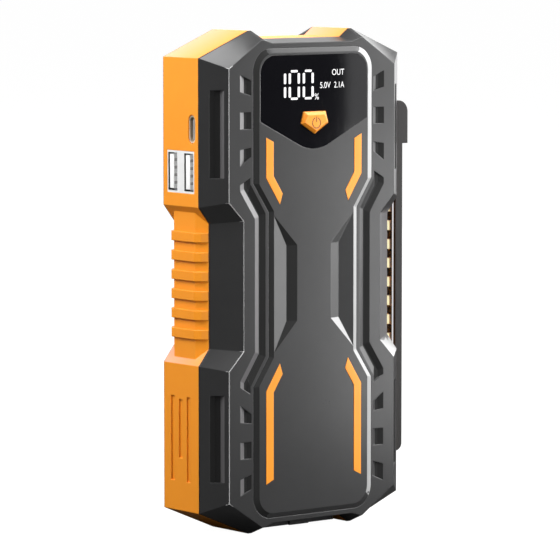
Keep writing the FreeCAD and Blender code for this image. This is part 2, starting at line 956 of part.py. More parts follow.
def lamp_hinge(body, depth):
    """A pocket for the lamp's knuckle, and the lug that its pin goes through."""
    x, z = size.pivot_x, size.pivot_z
    inner_wall = size.band_half_width - size.frame_wall
    half = size.hinge_boss_half_height
    block = rectangle(size.hinge_boss_x, inner_wall + size.fit, z - half, z + half)
    pad(body, sketch(body, "hinge_boss", "front", [block]), depth, both=True)
    round_pocket = sketch(body, "hinge_pocket", "front", [(x, z, size.hinge_pocket_radius)])
    pocket(body, round_pocket, size.hinge_pocket_half_depth * 2, both=True)
    radius = size.lug_radius
    outline = [(size.lug_root, z - radius), (x, z - radius, radius)]
    outline += [(x, z + radius), (size.lug_root, z + radius)]
    lug = sketch(body, "lug", "front", [outline])
    pad(body, lug, size.lug_half_depth * 2, both=True)
    hole = sketch(body, "pin_hole", "front", [(x, z, size.lug_hole_radius)])
    pocket(body, hole, size.lug_half_depth * 2, both=True)


def port_openings(body):
    """Openings in the left wall for the two USB-A ports and the USB-C port."""
    depth, height = size.usb_plate_half_depth, size.usb_plate_half_height
    plate = rectangle(-depth, depth, size.usb_centre - height, size.usb_centre + height)
    gap = size.usb_c_hole_gap
    high = size.usb_c_half_height + gap
    centre = size.usb_c_centre
    slot = upright_slot(usb_c_depth(), size.usb_c_radius + gap, centre - high, centre + high)
    ports = sketch(body, "ports", "side", [plate, slot], -size.band_half_width)
    pocket(body, ports, size.frame_wall, reverse=True)


def grooves(body):
    """Three shallow finger grooves in the lower left side."""
    half = size.groove_width / 2
    loops = []
    for step in (-1, 0, 1):
        high = size.groove_high if step else size.middle_groove_high
        low = size.groove_low if step else size.middle_groove_low
        centre = size.groove_centre + size.groove_pitch * step
        loops.append(rectangle(centre - half, centre + half, -low, -high))
    profile = sketch(body, "grooves", "side", loops, -size.band_half_width)
    pocket(body, profile, size.groove_depth, reverse=True)


def output_opening(body):
    """The hole for the jump output, and the holes that the cover turns in."""
    width = size.socket_half_width + size.socket_gap
    depth = size.socket_half_depth + size.socket_gap
    outline = rounded(width, depth, size.socket_corner)
    hole = sketch(body, "output_hole", "top", [outline], -size.notch_floor)
    pocket(body, hole, size.frame_wall, reverse=True)
    pivot = (size.cover_pivot_y, size.cover_pivot_z, size.trunnion_hole_radius)
    trunnions = sketch(body, "trunnion_holes", "side", [pivot])
    pocket(body, trunnions, size.trunnion_hole_end * 2, both=True)


# Front panel, window, button and inlays

def panel_outline(half_width, half_height, corner, waist, waist_height):
    climb = size.panel_shoulder - size.panel_waist_height
    slope = climb / (size.panel_half_width - size.panel_waist)
    quarter = [
        (waist, waist_height),
        (half_width, waist_height + (half_width - waist) * slope),
        (half_width, half_height - corner, corner),
        (half_width - corner, half_height),
    ]
    return all_round(quarter)


def panel_foot():
    width, height = size.panel_half_width, size.panel_half_height
    waist_height = size.panel_waist_height
    return panel_outline(width, height, size.panel_corner, size.panel_waist, waist_height)


def panel_top():
    width, height = size.panel_top_half_width, size.panel_top_half_height
    waist, waist_height = size.panel_top_waist, size.panel_top_waist_height
    return panel_outline(width, height, size.panel_top_corner, waist, waist_height)


def window_outline():
    """Round upper corners, straight sides and a V foot with a rounded tip."""
    slope = (size.window_side - size.window_tip) / size.window_half_width
    right = [
        (size.tip_half, size.window_tip + size.tip_half * slope),
        (size.window_half_width, size.window_side),
        (size.window_half_width, size.window_top - size.window_corner, size.window_corner),
        (size.window_half_width - size.window_corner, size.window_top),
    ]
    left = flip(right, across=-1)
    left[-1] += (size.tip_radius,)
    return right + left


def pentagon(grow=0):
    """The button's five sided outline, grown by a gap all round."""
    return [
        (0, size.button_tip - grow),
        (size.button_shoulder_half + grow, size.button_shoulder - grow / 4),
        (size.button_top_half + grow, size.button_top + grow),
        (-size.button_top_half - grow, size.button_top + grow),
        (-size.button_shoulder_half - grow, size.button_shoulder - grow / 4),
    ]


def inlay_outline(outer_end, inner_end):
    """A strip down the panel's side that turns in to a point at the waist."""
    return [
        (size.inlay_foot_x, size.inlay_foot),
        (size.inlay_outer, size.inlay_bend),
        (size.inlay_outer, outer_end),
        (size.inlay_inner, inner_end),
        (size.inlay_inner, size.inlay_inner_bend),
        (size.inlay_point_x, size.inlay_point),
    ]


def inlay_outlines():
    """The four strips by name."""
    upper_end, lower_end, slant = size.upper_inlay_end, size.lower_inlay_end, size.inlay_end_slant
    upper = inlay_outline(upper_end, upper_end - slant)
    lower = flip(inlay_outline(lower_end, lower_end - slant), up=-1)
    return {
        "inlay_upper_right": upper,
        "inlay_upper_left": flip(upper, across=-1),
        "inlay_lower_right": lower,
        "inlay_lower_left": flip(lower, across=-1),
    }


def panel_face():
    return size.half_depth + size.panel_rise


def front_panel():
    """The raised plate: bevelled edge, two sunk dishes, and seats for what it carries."""
    body = new_body("front_panel")
    floor = size.half_depth - size.panel_seat
    top = panel_face()
    foot = sketch(body, "foot", "front", [panel_foot()], floor)
    pad(body, foot, size.panel_seat)
    edge = sketch(body, "edge", "front", [panel_foot()], size.half_depth)
    face = sketch(body, "face", "front", [panel_top()], top)
    loft(body, edge, face)
    dishes(body)
    window = sketch(body, "window_seat", "front", [window_outline()], top)
    pocket(body, window, size.window_thickness)
    strips = sketch(body, "inlay_seats", "front", list(inlay_outlines().values()), top)
    pocket(body, strips, size.inlay_depth)
    gap = size.display_gap
    width = size.display_half_width + gap
    low, high = size.display_low - gap, size.display_high + gap
    loops = [rectangle(-width, width, low, high), pentagon(size.button_gap)]
    openings = sketch(body, "openings", "front", loops, top)
    pocket(body, openings, size.panel_seat + size.panel_rise)
    stand(body, "front_panel")


def dishes(body):
    """Sunk dishes beside the middle of the panel, deepest along an upright line."""
    face, floor = -panel_face(), -panel_face() + size.dish_depth
    outer, inner, half = size.panel_top_waist, size.dish_inner, size.dish_half_height
    groove = [(inner, face), (size.dish_valley, floor), (outer, face)]
    grooves = [[(x * across, y) for x, y in groove] for across in BOTH_SIDES]
    profile = sketch(body, "dishes", "top", grooves)
    pocket(body, profile, size.dish_corner * 2, both=True)
    climb = size.dish_corner - half
    run = (size.dish_valley - inner) * climb / (outer - inner)
    top = size.dish_corner + climb
    section = [(face, size.dish_corner), (face, top), (floor, top), (floor, size.dish_corner - run)]
    for across in BOTH_SIDES:
        for up in BOTH_SIDES:
            loop = [(y, z * up) for y, z in section]
            end = sketch(body, "dish_end", "side", [loop], outer * across)
            slope = pad(body, end, outer - inner)
            slope.UseCustomVector = True
            slope.AlongSketchNormal = True
            bind(slope, "Direction.x", (inner - outer) * across)
            bind(slope, "Direction.y", 0)
            bind(slope, "Direction.z", climb * -up)


def display_window():
    body = new_body("display_window")
    back = panel_face() - size.window_thickness
    outline = sketch(body, "window", "front", [window_outline(), pentagon(size.button_gap)], back)
    pad(body, outline, size.window_thickness)
    stand(body, "display_window")


def inlays():
    for name, outline in inlay_outlines().items():
        body = new_body(name)
        strip = sketch(body, "strip", "front", [outline], panel_face() - size.inlay_depth)
        pad(body, strip, size.inlay_depth + size.inlay_proud)
        stand(body, name)


def power_button():
    """Bevelled cap, a flange that keeps it behind the panel, and a plunger."""
    body = new_body("power_button")
    plunger = (0, size.button_centre, size.plunger_radius)
    stem = sketch(body, "plunger", "front", [plunger], size.plunger_back)
    pad(body, stem, size.flange_back - size.plunger_back)
    rim = sketch(body, "flange", "front", [pentagon(size.flange_grow)], size.flange_back)
    pad(body, rim, size.flange_front - size.flange_back)
    cap = sketch(body, "cap", "front", [pentagon()], size.flange_front)
    pad(body, cap, size.button_edge - size.flange_front)
    edge = sketch(body, "cap_edge", "front", [pentagon()], size.button_edge)
    face = sketch(body, "cap_face", "front", [pentagon(-size.button_bevel)], size.button_face)
    loft(body, edge, face)
    stand(body, "power_button")


def display_module():
    body = new_body("display_module")
    width = size.display_half_width
    outline = rectangle(-width, width, size.display_low, size.display_high)
    block = sketch(body, "block", "front", [outline], size.main_board_front)
    pad(body, block, size.display_front - size.main_board_front)
    stand(body, "display_module")


def power_switch():
    """The push switch behind the button, and the stem that the button pushes into it."""
    body = new_body("power_switch")
    half, centre = size.switch_half, size.button_centre
    outline = rectangle(-half, half, centre - half, centre + half)
    base = sketch(body, "base", "front", [outline], size.main_board_front)
    pad(body, base, size.switch_front - size.main_board_front)
    hole = sketch(body, "stem_hole", "front", [(0, centre, size.stem_hole_radius)], size.switch_front)
    pocket(body, hole, size.switch_front - size.stem_hole_back)
    stand(body, "power_switch")
    body = new_body("switch_stem")
    outline = hexagon((0, centre), size.stem_radius)
    stem = sketch(body, "stem", "front", [outline], size.stem_back)
    pad(body, stem, size.plunger_back - size.stem_back)
    stand(body, "switch_stem")


# Boards and what stands on them

def main_board():
    """The board behind the panel, notched round the screw post beside it."""
    body = new_body("main_board")
    outline = [
        (-size.main_board_left, size.main_board_low),
        (size.main_board_right, size.main_board_low),
        (size.main_board_right, size.main_board_high),
        (-size.main_board_cut_x, size.main_board_high),
        (-size.main_board_left, size.main_board_cut_z),
    ]
    post_hole = (-size.post_x, size.post_z, size.front_post_radius + size.post_clearance)
    board = sketch(body, "board", "front", [outline, post_hole], size.main_board_back)
    pad(body, board, size.main_board_front - size.main_board_back)
    stand(body, "main_board")


def power_board():
    body = new_body("power_board")
    left, right = -size.power_board_left, size.power_board_right
    outline = rectangle(left, right, size.power_board_low, size.power_board_high)
    board = sketch(body, "board", "front", [outline], -size.power_board_front)
    pad(body, board, size.power_board_back - size.power_board_front, reverse=True)
    stand(body, "power_board")


def power_parts():
    """Coil, capacitors, transistors and the header, all on the power board's front."""
    face = size.power_board_front
    start = (size.coil_x, face - size.coil_height, size.coil_z)
    coil = rod("coil", "y", start, size.coil_radius, size.coil_height)
    stand(group("boost_coil", [coil]), "boost_coil")
    cans = []
    for can_x in (size.can_left, size.can_right):
        start = (can_x, face - size.can_height, size.can_z)
        cans.append(rod("can", "y", start, size.can_radius, size.can_height))
    stand(group("capacitors", cans), "capacitors")
    chips = []
    for column in (0, 1):
        for row in (0, 1):
            left = size.chip_left + size.chip_pitch * column
            under = size.chip_low + size.chip_rise * row
            low = (left, face - size.chip_thickness, under)
            high = (left + size.chip_width, face, under + size.chip_height)
            chips.append(box("chip", low, high))
    stand(group("mosfets", chips), "mosfets")
    low = (size.header_left, -size.main_board_back, size.header_low)
    high = (size.header_right, face, size.header_high)
    stand(group("board_header", [box("header", low, high)]), "board_header")


# USB ports

def usb_c_depth():
    """The USB-C shell lies on the back of the main board."""
    return -size.main_board_back + size.usb_c_radius


def usb_port_outlines():
    """The two port openings, as seen from the side."""
    half_width, half_height = size.usb_port_half_width, size.usb_port_half_height
    low, high = size.usb_centre - half_height, size.usb_centre + half_height
    outlines = []
    for side in BOTH_SIDES:
        centre = size.usb_port_offset * side
        outlines.append(rectangle(centre - half_width, centre + half_width, low, high))
    return outlines


def usb_port_plate():
    body = new_body("usb_port_plate")
    depth, height = size.usb_plate_half_depth, size.usb_plate_half_height
    outline = rectangle(-depth, depth, size.usb_centre - height, size.usb_centre + height)
    loops = [outline] + usb_port_outlines()
    plate = sketch(body, "plate", "side", loops, -size.band_half_width)
    pad(body, plate, size.frame_wall)
    stand(body, "usb_port_plate")


def usb_a_shell():
    """The folded metal double socket behind the plate."""
    body = new_body("usb_a_shell")
    mouth = -size.band_half_width + size.frame_wall
    low = size.usb_centre - size.usb_shell_half_height
    high = size.usb_centre + size.usb_shell_half_height
    outline = rectangle(-size.main_board_back, size.usb_shell_back, low, high)
    block = sketch(body, "block", "side", [outline], mouth)
    pad(body, block, -size.usb_shell_end - mouth)
    cavities = sketch(body, "cavities", "side", usb_port_outlines(), mouth)
    pocket(body, cavities, -size.usb_cavity_end - mouth, reverse=True)
    stand(body, "usb_a_shell")


def usb_a_tongues():
    """The plastic tongue in each port, and four contacts on each."""
    tongues, contacts = [], []
    height = size.usb_contact_half_width
    for side in BOTH_SIDES:
        centre = size.usb_port_offset * side + size.tongue_shift
        front, back = centre - size.tongue_half_width, centre + size.tongue_half_width
        low = size.usb_centre - size.tongue_half_height
        high = size.usb_centre + size.tongue_half_height
        start, end = -size.tongue_start, -size.usb_cavity_end
        tongues.append(box("tongue", (start, front, low), (end, back, high)))
        start, end = -size.usb_contact_start, -size.usb_contact_end
        under = front - size.usb_contact_thickness
        for step in (-size.usb_contact_outer, -size.usb_contact_inner,
                     size.usb_contact_inner, size.usb_contact_outer):
            middle = size.usb_centre + step
            low_corner = (start, under, middle - height)
            contacts.append(box("contact", low_corner, (end, front, middle + height)))
    stand(group("usb_a_tongues", tongues), "usb_a_tongues")
    stand(group("usb_a_contacts", contacts), "usb_a_contacts")


def usb_c_shell():
    """The drawn metal shell of the USB-C port, closed at its inner end."""
    body = new_body("usb_c_shell")
    centre, half, wall = size.usb_c_centre, size.usb_c_half_height, size.usb_c_wall
    outer = upright_slot(usb_c_depth(), size.usb_c_radius, centre - half, centre + half)
    block = sketch(body, "block", "side", [outer], -size.usb_c_start)
    pad(body, block, size.usb_c_start - size.usb_c_end)
    low, high = centre - half + wall, centre + half - wall
    inner = upright_slot(usb_c_depth(), size.usb_c_radius - wall, low, high)
    cavity = sketch(body, "cavity", "side", [inner], -size.usb_c_start)
    pocket(body, cavity, size.usb_c_start - size.usb_c_end - wall, reverse=True)
    stand(body, "usb_c_shell")


def usb_c_tongue():
    depth, half = size.usb_c_tongue_half_width, size.usb_c_tongue_half_height
    low = (-size.usb_c_tongue_start, usb_c_depth() - depth, size.usb_c_centre - half)
    end = -size.usb_c_end - size.usb_c_wall
    high = (end, usb_c_depth() + depth, size.usb_c_centre + half)
    stand(group("usb_c_tongue", [box("tongue", low, high)]), "usb_c_tongue")


# Battery

def cells():
    """Pouch cells side by side, each with a sealed lower edge and two tabs."""
    half = size.cell_thickness / 2
    for number in range(CELLS):
        name = "cell_%d" % (number + 1)
        middle = size.cell_pitch * (number - (CELLS - 1) / 2)
        body = new_body(name)
        outline = bevelled(size.cell_half_width, half, size.cell_corner)
        pouch = sketch(body, "pouch", "top", [outline], size.cell_low)
        pad(body, pouch, size.cell_high - size.cell_low)
        width, thin = size.cell_half_width, size.seal_half_thickness
        seal = sketch(body, "seal", "top", [rectangle(-width, width, -thin, thin)], size.seal_low)
        pad(body, seal, size.cell_low - size.seal_low)
        thin = size.tab_half_thickness
        loops = []
        for side in BOTH_SIDES:
            centre = size.tab_x * side
            tab_left, tab_right = centre - size.tab_half_width, centre + size.tab_half_width
            loops.append(rectangle(tab_left, tab_right, -thin, thin))
        tabs = sketch(body, "tabs", "top", loops, size.link_board_high)
        pad(body, tabs, size.seal_low - size.link_board_high)
        bind(body, "Placement.Base.y", middle)
        stand(body, name)


def foam():
    """Thin spacers between the cells and thicker pads against the shells."""
    width, low, high = size.pad_half_width, size.pad_low, size.pad_high
    half_gap = (size.cell_pitch - size.cell_thickness) / 2
    spacers = []
    for number in range(1 - CELLS // 2, CELLS // 2):
        middle = size.cell_pitch * number
        front, back = middle - half_gap, middle + half_gap
        spacers.append(box("spacer", (-width, front, low), (width, back, high)))
    stand(group("cell_spacers", spacers), "cell_spacers")
    front = box("pad", (-width, -size.pad_outer, low), (width, -size.pad_inner, high))
    stand(group("front_pad", [front]), "front_pad")
    rear = box("pad", (-width, size.pad_inner, low), (width, size.pad_outer, high))
    stand(group("rear_pad", [rear]), "rear_pad")


def link_board():
    """The board that joins the cells' tabs in series."""
    width, depth = size.link_board_half_width, size.link_board_half_depth
    low, high = (-width, -depth, size.link_board_low), (width, depth, size.link_board_high)
    stand(group("link_board", [box("board", low, high)]), "link_board")


def leads():
    """Heavy leads from the cells to the jump output, and one lead up to the power board."""
    length = size.link_board_low - size.contact_top
    for name, side in (("negative_lead", -1), ("positive_lead", 1)):
        start = (size.contact_x * side, 0, size.contact_top)
        stand(group(name, [rod("core", "z", start, size.lead_radius, length)]), name)
    body = new_body("board_lead")
    route = place_sketch(body, "route", "side", size.board_lead_x)
    y, z, bend = size.board_lead_y, size.board_lead_high, size.board_lead_bend
    corners = [(size.power_board_front, z), (y + bend, z), (y, z - bend)]
    edges, rules = [], []
    add_corners(edges, rules, corners + [(y, size.link_board_high)], closed=False)
    fill_sketch(route, edges, rules)
    section = (size.board_lead_x, y, size.board_lead_radius)
    pipe = body.newObject("PartDesign::AdditivePipe", "lead")
    pipe.Profile = sketch(body, "section", "top", [section], size.link_board_high)
    pipe.Spine = route
    pipe.Transition = "Right corner"
    stand(body, "board_lead")


# Jump output

def output_socket():
    """A deep socket with a flange behind the frame's wall, and holes for two contacts."""
    body = new_body("output_socket")
    width, depth, corner = size.socket_half_width, size.socket_half_depth, size.socket_corner
    block = sketch(body, "block", "top", [bevelled(width, depth, corner)], size.socket_mouth)
    pad(body, block, size.socket_top - size.socket_mouth)
    flange_width, flange_depth = width + size.socket_flange_side, depth + size.socket_flange_front
    outline = bevelled(flange_width, flange_depth, corner)
    flange = sketch(body, "flange", "top", [outline], size.socket_flange_low)
    pad(body, flange, size.socket_flange_high - size.socket_flange_low)
    mouth_width, mouth_depth = width - size.socket_wall_side, depth - size.socket_wall_front
    mouth = bevelled(mouth_width, mouth_depth, corner / 4)
    hollow = sketch(body, "hollow", "top", [mouth], size.socket_mouth)
    pocket(body, hollow, size.socket_floor - size.socket_mouth, reverse=True)
    places = [(size.contact_x * side, 0) for side in BOTH_SIDES]
    loops = circles(places, size.contact_radius)
    contact_holes = sketch(body, "contact_holes", "top", loops, size.socket_floor)
    pocket(body, contact_holes, size.socket_top - size.socket_floor, reverse=True)
    stand(body, "output_socket")


def output_contacts():
    """Turned bullet sockets, each bored to take a lead's bullet plug."""
    for name, side in (("negative_contact", -1), ("positive_contact", 1)):
        x, mouth, top = size.contact_x * side, size.contact_mouth, size.contact_top
        barrel = rod("barrel", "z", (x, 0, mouth), size.contact_radius, top - mouth)
        bore = rod("bore", "z", (x, 0, mouth), size.contact_bore, size.bore_depth)
        turned = cut(name + "_turned", barrel, bore)
        stand(group(name, [turned]), name)


def output_cover():
    """Rubber cover: a plate with a round hinge edge, trunnions, a plug and a thumb tab."""
    body = new_body("output_cover")
    y, z, radius = size.cover_pivot_y, size.cover_pivot_z, size.cover_radius
    plate = [
        (-size.cover_front, z - radius),
        (y, z - radius, radius),
        (y, z + radius),
        (-size.cover_front, z + radius),
    ]
    profile = sketch(body, "plate", "side", [plate])
    pad(body, profile, size.cover_half_width * 2, both=True)
    trunnions = sketch(body, "trunnions", "side", [(y, z, radius)])
    pad(body, trunnions, size.trunnion_end * 2, both=True)
    corner = size.socket_corner / 4
    plug = bevelled(size.cover_plug_half_width, size.cover_plug_half_depth, corner)
    block = sketch(body, "plug", "top", [plug], z)
    pad(body, block, size.cover_plug_top - z)
    half, front = size.cover_tab_half_width, size.cover_tab_front
    tab = rectangle(-half, half, -front, -size.cover_front)
    profile = sketch(body, "tab", "top", [tab], z - radius)
    pad(body, profile, radius * 2)
    stand(body, "output_cover")


# Lamp

def lamp_arm():
    """The arm: a knuckle with a slot for the lug, and a tray for the board and the lens."""
    body = new_body("lamp_arm")
    x, z, radius = size.pivot_x, size.pivot_z, size.knuckle_radius
    inner, outer, low = size.arm_inner, size.arm_outer, size.arm_low
    heel = square_root(radius * radius - (x - inner) * (x - inner))
    outline = [
        (inner, low),
        (outer - size.arm_end_radius, low, size.arm_end_radius),
        (outer, low + size.arm_end_radius),
        (outer, size.knuckle_low),
        (x + radius, size.knuckle_low),
        (x + radius, z, radius),
        (x - radius, z, radius),
        (inner, z - heel),
    ]
    profile = sketch(body, "arm", "front", [outline])
    pad(body, profile, size.arm_half_depth * 2, both=True)
    slot = rectangle(x - radius * 2, x + radius * 2, size.clevis_floor, z + radius * 2)
    clevis = sketch(body, "clevis", "front", [slot])
    pocket(body, clevis, size.clevis_half_depth * 2, both=True)
    hole = sketch(body, "pin_hole", "front", [(x, z, size.lamp_pin_radius)], size.lamp_pin_front)
    pocket(body, hole, size.lamp_pin_front + size.arm_half_depth)
    depth, low, high = size.lens_half_depth, size.lens_low, size.lens_high
    tray = sketch(body, "lens_seat", "side", [rectangle(-depth, depth, low, high)], inner)
    pocket(body, tray, size.lens_thickness, reverse=True)
    ledge = size.lens_ledge
    depth, low, high = depth - ledge, low + ledge, high - ledge
    tray = sketch(body, "board_seat", "side", [rectangle(-depth, depth, low, high)], inner)
    pocket(body, tray, size.lamp_board_back - inner, reverse=True)
    stand(body, "lamp_arm")


def lamp_parts():
    """Lens, board, two columns of LEDs and the hinge pin."""
    inner, depth = size.arm_inner, size.lens_half_depth
    far = inner + size.lens_thickness
    lens = box("lens", (inner, -depth, size.lens_low), (far, depth, size.lens_high))
    stand(group("lamp_lens", [lens]), "lamp_lens")
    ledge = size.lens_ledge
    low = (size.lamp_board_front, -depth + ledge, size.lens_low + ledge)
    high = (size.lamp_board_back, depth - ledge, size.lens_high - ledge)
    stand(group("lamp_board", [box("board", low, high)]), "lamp_board")
    leds = []
    width, height = size.led_half_width, size.led_half_height
    for side in BOTH_SIDES:
        for row in range(LED_ROWS):
            y, z = size.led_column * side, size.led_lowest + size.led_pitch * row
            low = (size.led_front, y - width, z - height)
            leds.append(box("led", low, (size.lamp_board_front, y + width, z + height)))
    stand(group("lamp_leds", leds), "lamp_leds")
    start = (size.pivot_x, -size.lamp_pin_front, size.pivot_z)
    length = size.lamp_pin_front + size.lamp_pin_back
    pin = rod("pin", "y", start, size.lamp_pin_radius, length)
    stand(group("lamp_pin", [pin]), "lamp_pin")


# Screws

def case_screws():
    """Long screws from the rear shell's seats into the front shell's posts."""
    seat, end = size.screw_seat, size.screw_end
    screws = []
    for x, z in post_places():
        head = rod("head", "y", (x, seat, z), size.screw_head_radius, size.screw_head_height)
        shank = rod("shank", "y", (x, -end, z), size.screw_radius, seat + end, six_sided=True)
        screws.append(fuse("screw", [head, shank]))
    stand(group("case_screws", screws), "case_screws")


def board_screws():
    """The six sided heads that hold each board against its bosses."""
    radius, height = size.small_head_radius, size.small_head_height
    rows = (
        ("main_board_screws", main_boss_places(), -size.main_board_back),
        ("power_board_screws", power_boss_places(), size.power_board_front - height),
    )
    for name, places, front in rows:
        heads = [rod("head", "y", (x, front, z), radius, height, six_sided=True)
                 for x, z in places]
        stand(group(name, heads), name)


# Checks and files

CUTS = ("PartDesign::Pocket", "PartDesign::SubtractiveLoft")


def check():
    """Stop where a feature failed, a cut took nothing away or a piece isn't sound."""
    for item in doc.Objects:
        if {"Invalid", "Error"} & set(item.State):
            raise RuntimeError("%s failed: %s" % (item.Label, item.State))
        if item.TypeId in CUTS and item.Shape.Volume >= item.BaseFeature.Shape.Volume:
            raise RuntimeError("%s cuts nothing" % item.Name)
    for piece in pieces:
        if piece.Shape.isNull() or not piece.Shape.isValid():
            raise RuntimeError("%s isn't a valid solid" % piece.Label)


def write():
    os.makedirs("parts", exist_ok=True)
    for piece in pieces:
        piece.Shape.exportStep("parts/%s.step" % piece.Label)
        count = len(piece.Shape.Solids)
        print("%-20s %3d solids %10.1f mm3" % (piece.Label, count, piece.Shape.Volume))


MAKERS = (
    front_shell, rear_shell, mid_frame, front_panel, display_window, inlays, power_button,
    display_module, power_switch, main_board, power_board, power_parts, usb_port_plate,
    usb_a_shell, usb_a_tongues, usb_c_shell, usb_c_tongue, cells, foam, link_board, leads,
    output_socket, output_contacts, output_cover, lamp_arm, lamp_parts, case_screws,
    board_screws,
)
for make in MAKERS:
    make()
doc.recompute()
check()
write()
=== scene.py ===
"""Looks of the jump starter pack: finishes, softened edges, display, screws, light and camera."""
import bpy
import bmesh
import json
import math
from mathutils import Matrix, Vector

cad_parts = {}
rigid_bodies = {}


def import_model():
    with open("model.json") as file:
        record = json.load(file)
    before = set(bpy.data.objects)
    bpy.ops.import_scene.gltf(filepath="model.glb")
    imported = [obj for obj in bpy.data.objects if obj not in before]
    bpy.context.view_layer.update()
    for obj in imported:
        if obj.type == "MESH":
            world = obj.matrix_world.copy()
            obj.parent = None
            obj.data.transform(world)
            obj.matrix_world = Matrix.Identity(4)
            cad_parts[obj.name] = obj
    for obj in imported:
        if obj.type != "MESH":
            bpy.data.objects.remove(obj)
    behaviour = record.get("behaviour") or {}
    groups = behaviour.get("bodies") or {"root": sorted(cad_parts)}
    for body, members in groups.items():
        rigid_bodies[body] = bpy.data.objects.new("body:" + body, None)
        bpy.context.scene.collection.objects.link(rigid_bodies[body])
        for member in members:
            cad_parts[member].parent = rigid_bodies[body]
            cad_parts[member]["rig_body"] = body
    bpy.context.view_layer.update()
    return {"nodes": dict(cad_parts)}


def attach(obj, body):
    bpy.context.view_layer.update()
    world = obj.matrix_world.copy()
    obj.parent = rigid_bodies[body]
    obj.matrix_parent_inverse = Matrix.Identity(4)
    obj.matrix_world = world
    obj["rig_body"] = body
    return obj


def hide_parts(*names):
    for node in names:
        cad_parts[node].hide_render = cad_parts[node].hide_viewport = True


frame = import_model()

MM = 0.001
# The housing's centre, from which its own sizes are measured
HOUSING = Vector((-2.8, 0, 83.5))
PANEL_FACE = -17.2
BAND_HALF_DEPTH = 9.55
# The slanted sides, on which X and this share of Y add up to the sum
SLANT_RATIO = 1.0213
SLANT_SUM = 52.153
# The slots in them, with how far below the slant their faces lie
SLOT_CENTRE = 50.15
SLOT_HALF_HEIGHT = 14.4
SLOT_DEPTHS = (0.3, 2.2)
SLOT_NEAR = 33
# Faces this far from the middle belong to the flat front or back
FRONT_FLAT = 16
# The vents beside the panel: how far out they lie, and their Y at three depths
VENT_NEAR = 20
VENT_FAR = 34
VENT_FRONT = -16.55
VENT_FLOOR = -16.2
VENT_BACK = -14
# The waist's right side, and the ledge under it that catches the light; both get painted light
WAIST_SIDE = 28
WAIST_HALF_HEIGHT = 22
LEDGE_LOW = -40
LEDGE_HIGH = -20
# The painted highlight down the front edge on the left, each as where it is bare and where it is
# full
EDGE_BESIDE_SLOTS = (-33.5, -34.5)
EDGE_AT_WAIST = (-28.6, -29.2)
EDGE_WAIST_HEIGHT = (30, 26)
EDGE_DEPTH = (-15.6, -16.2)
# The two USB ports: the plate's face and its openings, and each port's middle and white tongue
PLATE_FACE = -42.4
OPENING_HALF_DEPTH = 7
OPENING_HALF_HEIGHT = 6.6
PORTS = (-4.35, 4.35)
PORT_HEIGHT = 37.4
CONTACT_STEPS = (-3.7, -1.2, 1.3, 3.8)
TONGUE_END = -42.0
TONGUE_FRONT = -0.05
TONGUE_THICK = 2.2
TONGUE_LENGTH = 11.3
# The lamp: the lens's front edge, and the rows of lights behind it
LENS_FRONT = -7.4
LIGHT_FACE = 44.2
LIGHT_COLUMNS = (-3.0, 3.0)
LIGHT_ROWS = 15
LIGHT_PITCH = 6.44
LOWEST_LIGHT = -55.16
# The power sign on the button
ICON_CENTRE = 52.8
ICON_RADIUS = 1.7
ICON_BAR = 1.25
# The digits: the first one's X, both sides of the others, and their bars with their heights
ONE_AT = -12.35
ZERO_SIDES = ((-10.9, -6.0), (-4.95, -0.15))
UPRIGHT_BAR = (0.95, 3.5)
UPRIGHT_INSET = 0.55
UPRIGHT_HEIGHTS = (63.2, 67.7)
LEVEL_BAR = (2.9, 0.75)
LEVEL_HEIGHTS = (61.05, 70.1)
CAPTION_HEIGHT = 2.0
# The camera, in degrees, metres and pixels
CAMERA_AZIMUTH = 38.46
CAMERA_RISE = 5.47
CAMERA_DISTANCE = 1.331
CAMERA_RIGHT = -0.00063
CAMERA_UP = -0.00079
FOCAL_PIXELS = 3962.6
PICTURE_PIXELS = 560


def place(x, y, z):
    """A point of the housing, from millimetres about its centre to the pack's frame."""
    return (Vector((x, y, z)) + HOUSING) * MM


# Shader sums

class Shade:
    """A number or colour that a node gives, for use in plain sums."""

    def __init__(self, finish, socket):
        self.finish = finish
        self.socket = socket

    def __add__(self, other):
        return self.finish.math("ADD", self, other)

    def __radd__(self, other):
        return self.finish.math("ADD", other, self)

    def __sub__(self, other):
        return self.finish.math("SUBTRACT", self, other)

    def __rsub__(self, other):
        return self.finish.math("SUBTRACT", other, self)

    def __mul__(self, other):
        return self.finish.math("MULTIPLY", self, other)

    def __rmul__(self, other):
        return self.finish.math("MULTIPLY", other, self)

    def __truediv__(self, other):
        return self.finish.math("DIVIDE", self, other)

    def __rtruediv__(self, other):
        return self.finish.math("DIVIDE", other, self)

    def __neg__(self):
        return self.finish.math("MULTIPLY", self, -1)

    def spread(self, low, high, start=0, end=1):
        """This number, moved from one range to another and held inside it."""
        settings = {"clamp": True}
        values = {0: self, 1: low, 2: high, 3: start, 4: end}
        return self.finish.add("MapRange", settings, values)["Result"]


class Outputs:
    """A node's outputs by name or number."""

    def __init__(self, finish, node):
        self.finish = finish
        self.node = node

    def __getitem__(self, key):
        return Shade(self.finish, self.node.outputs[key])


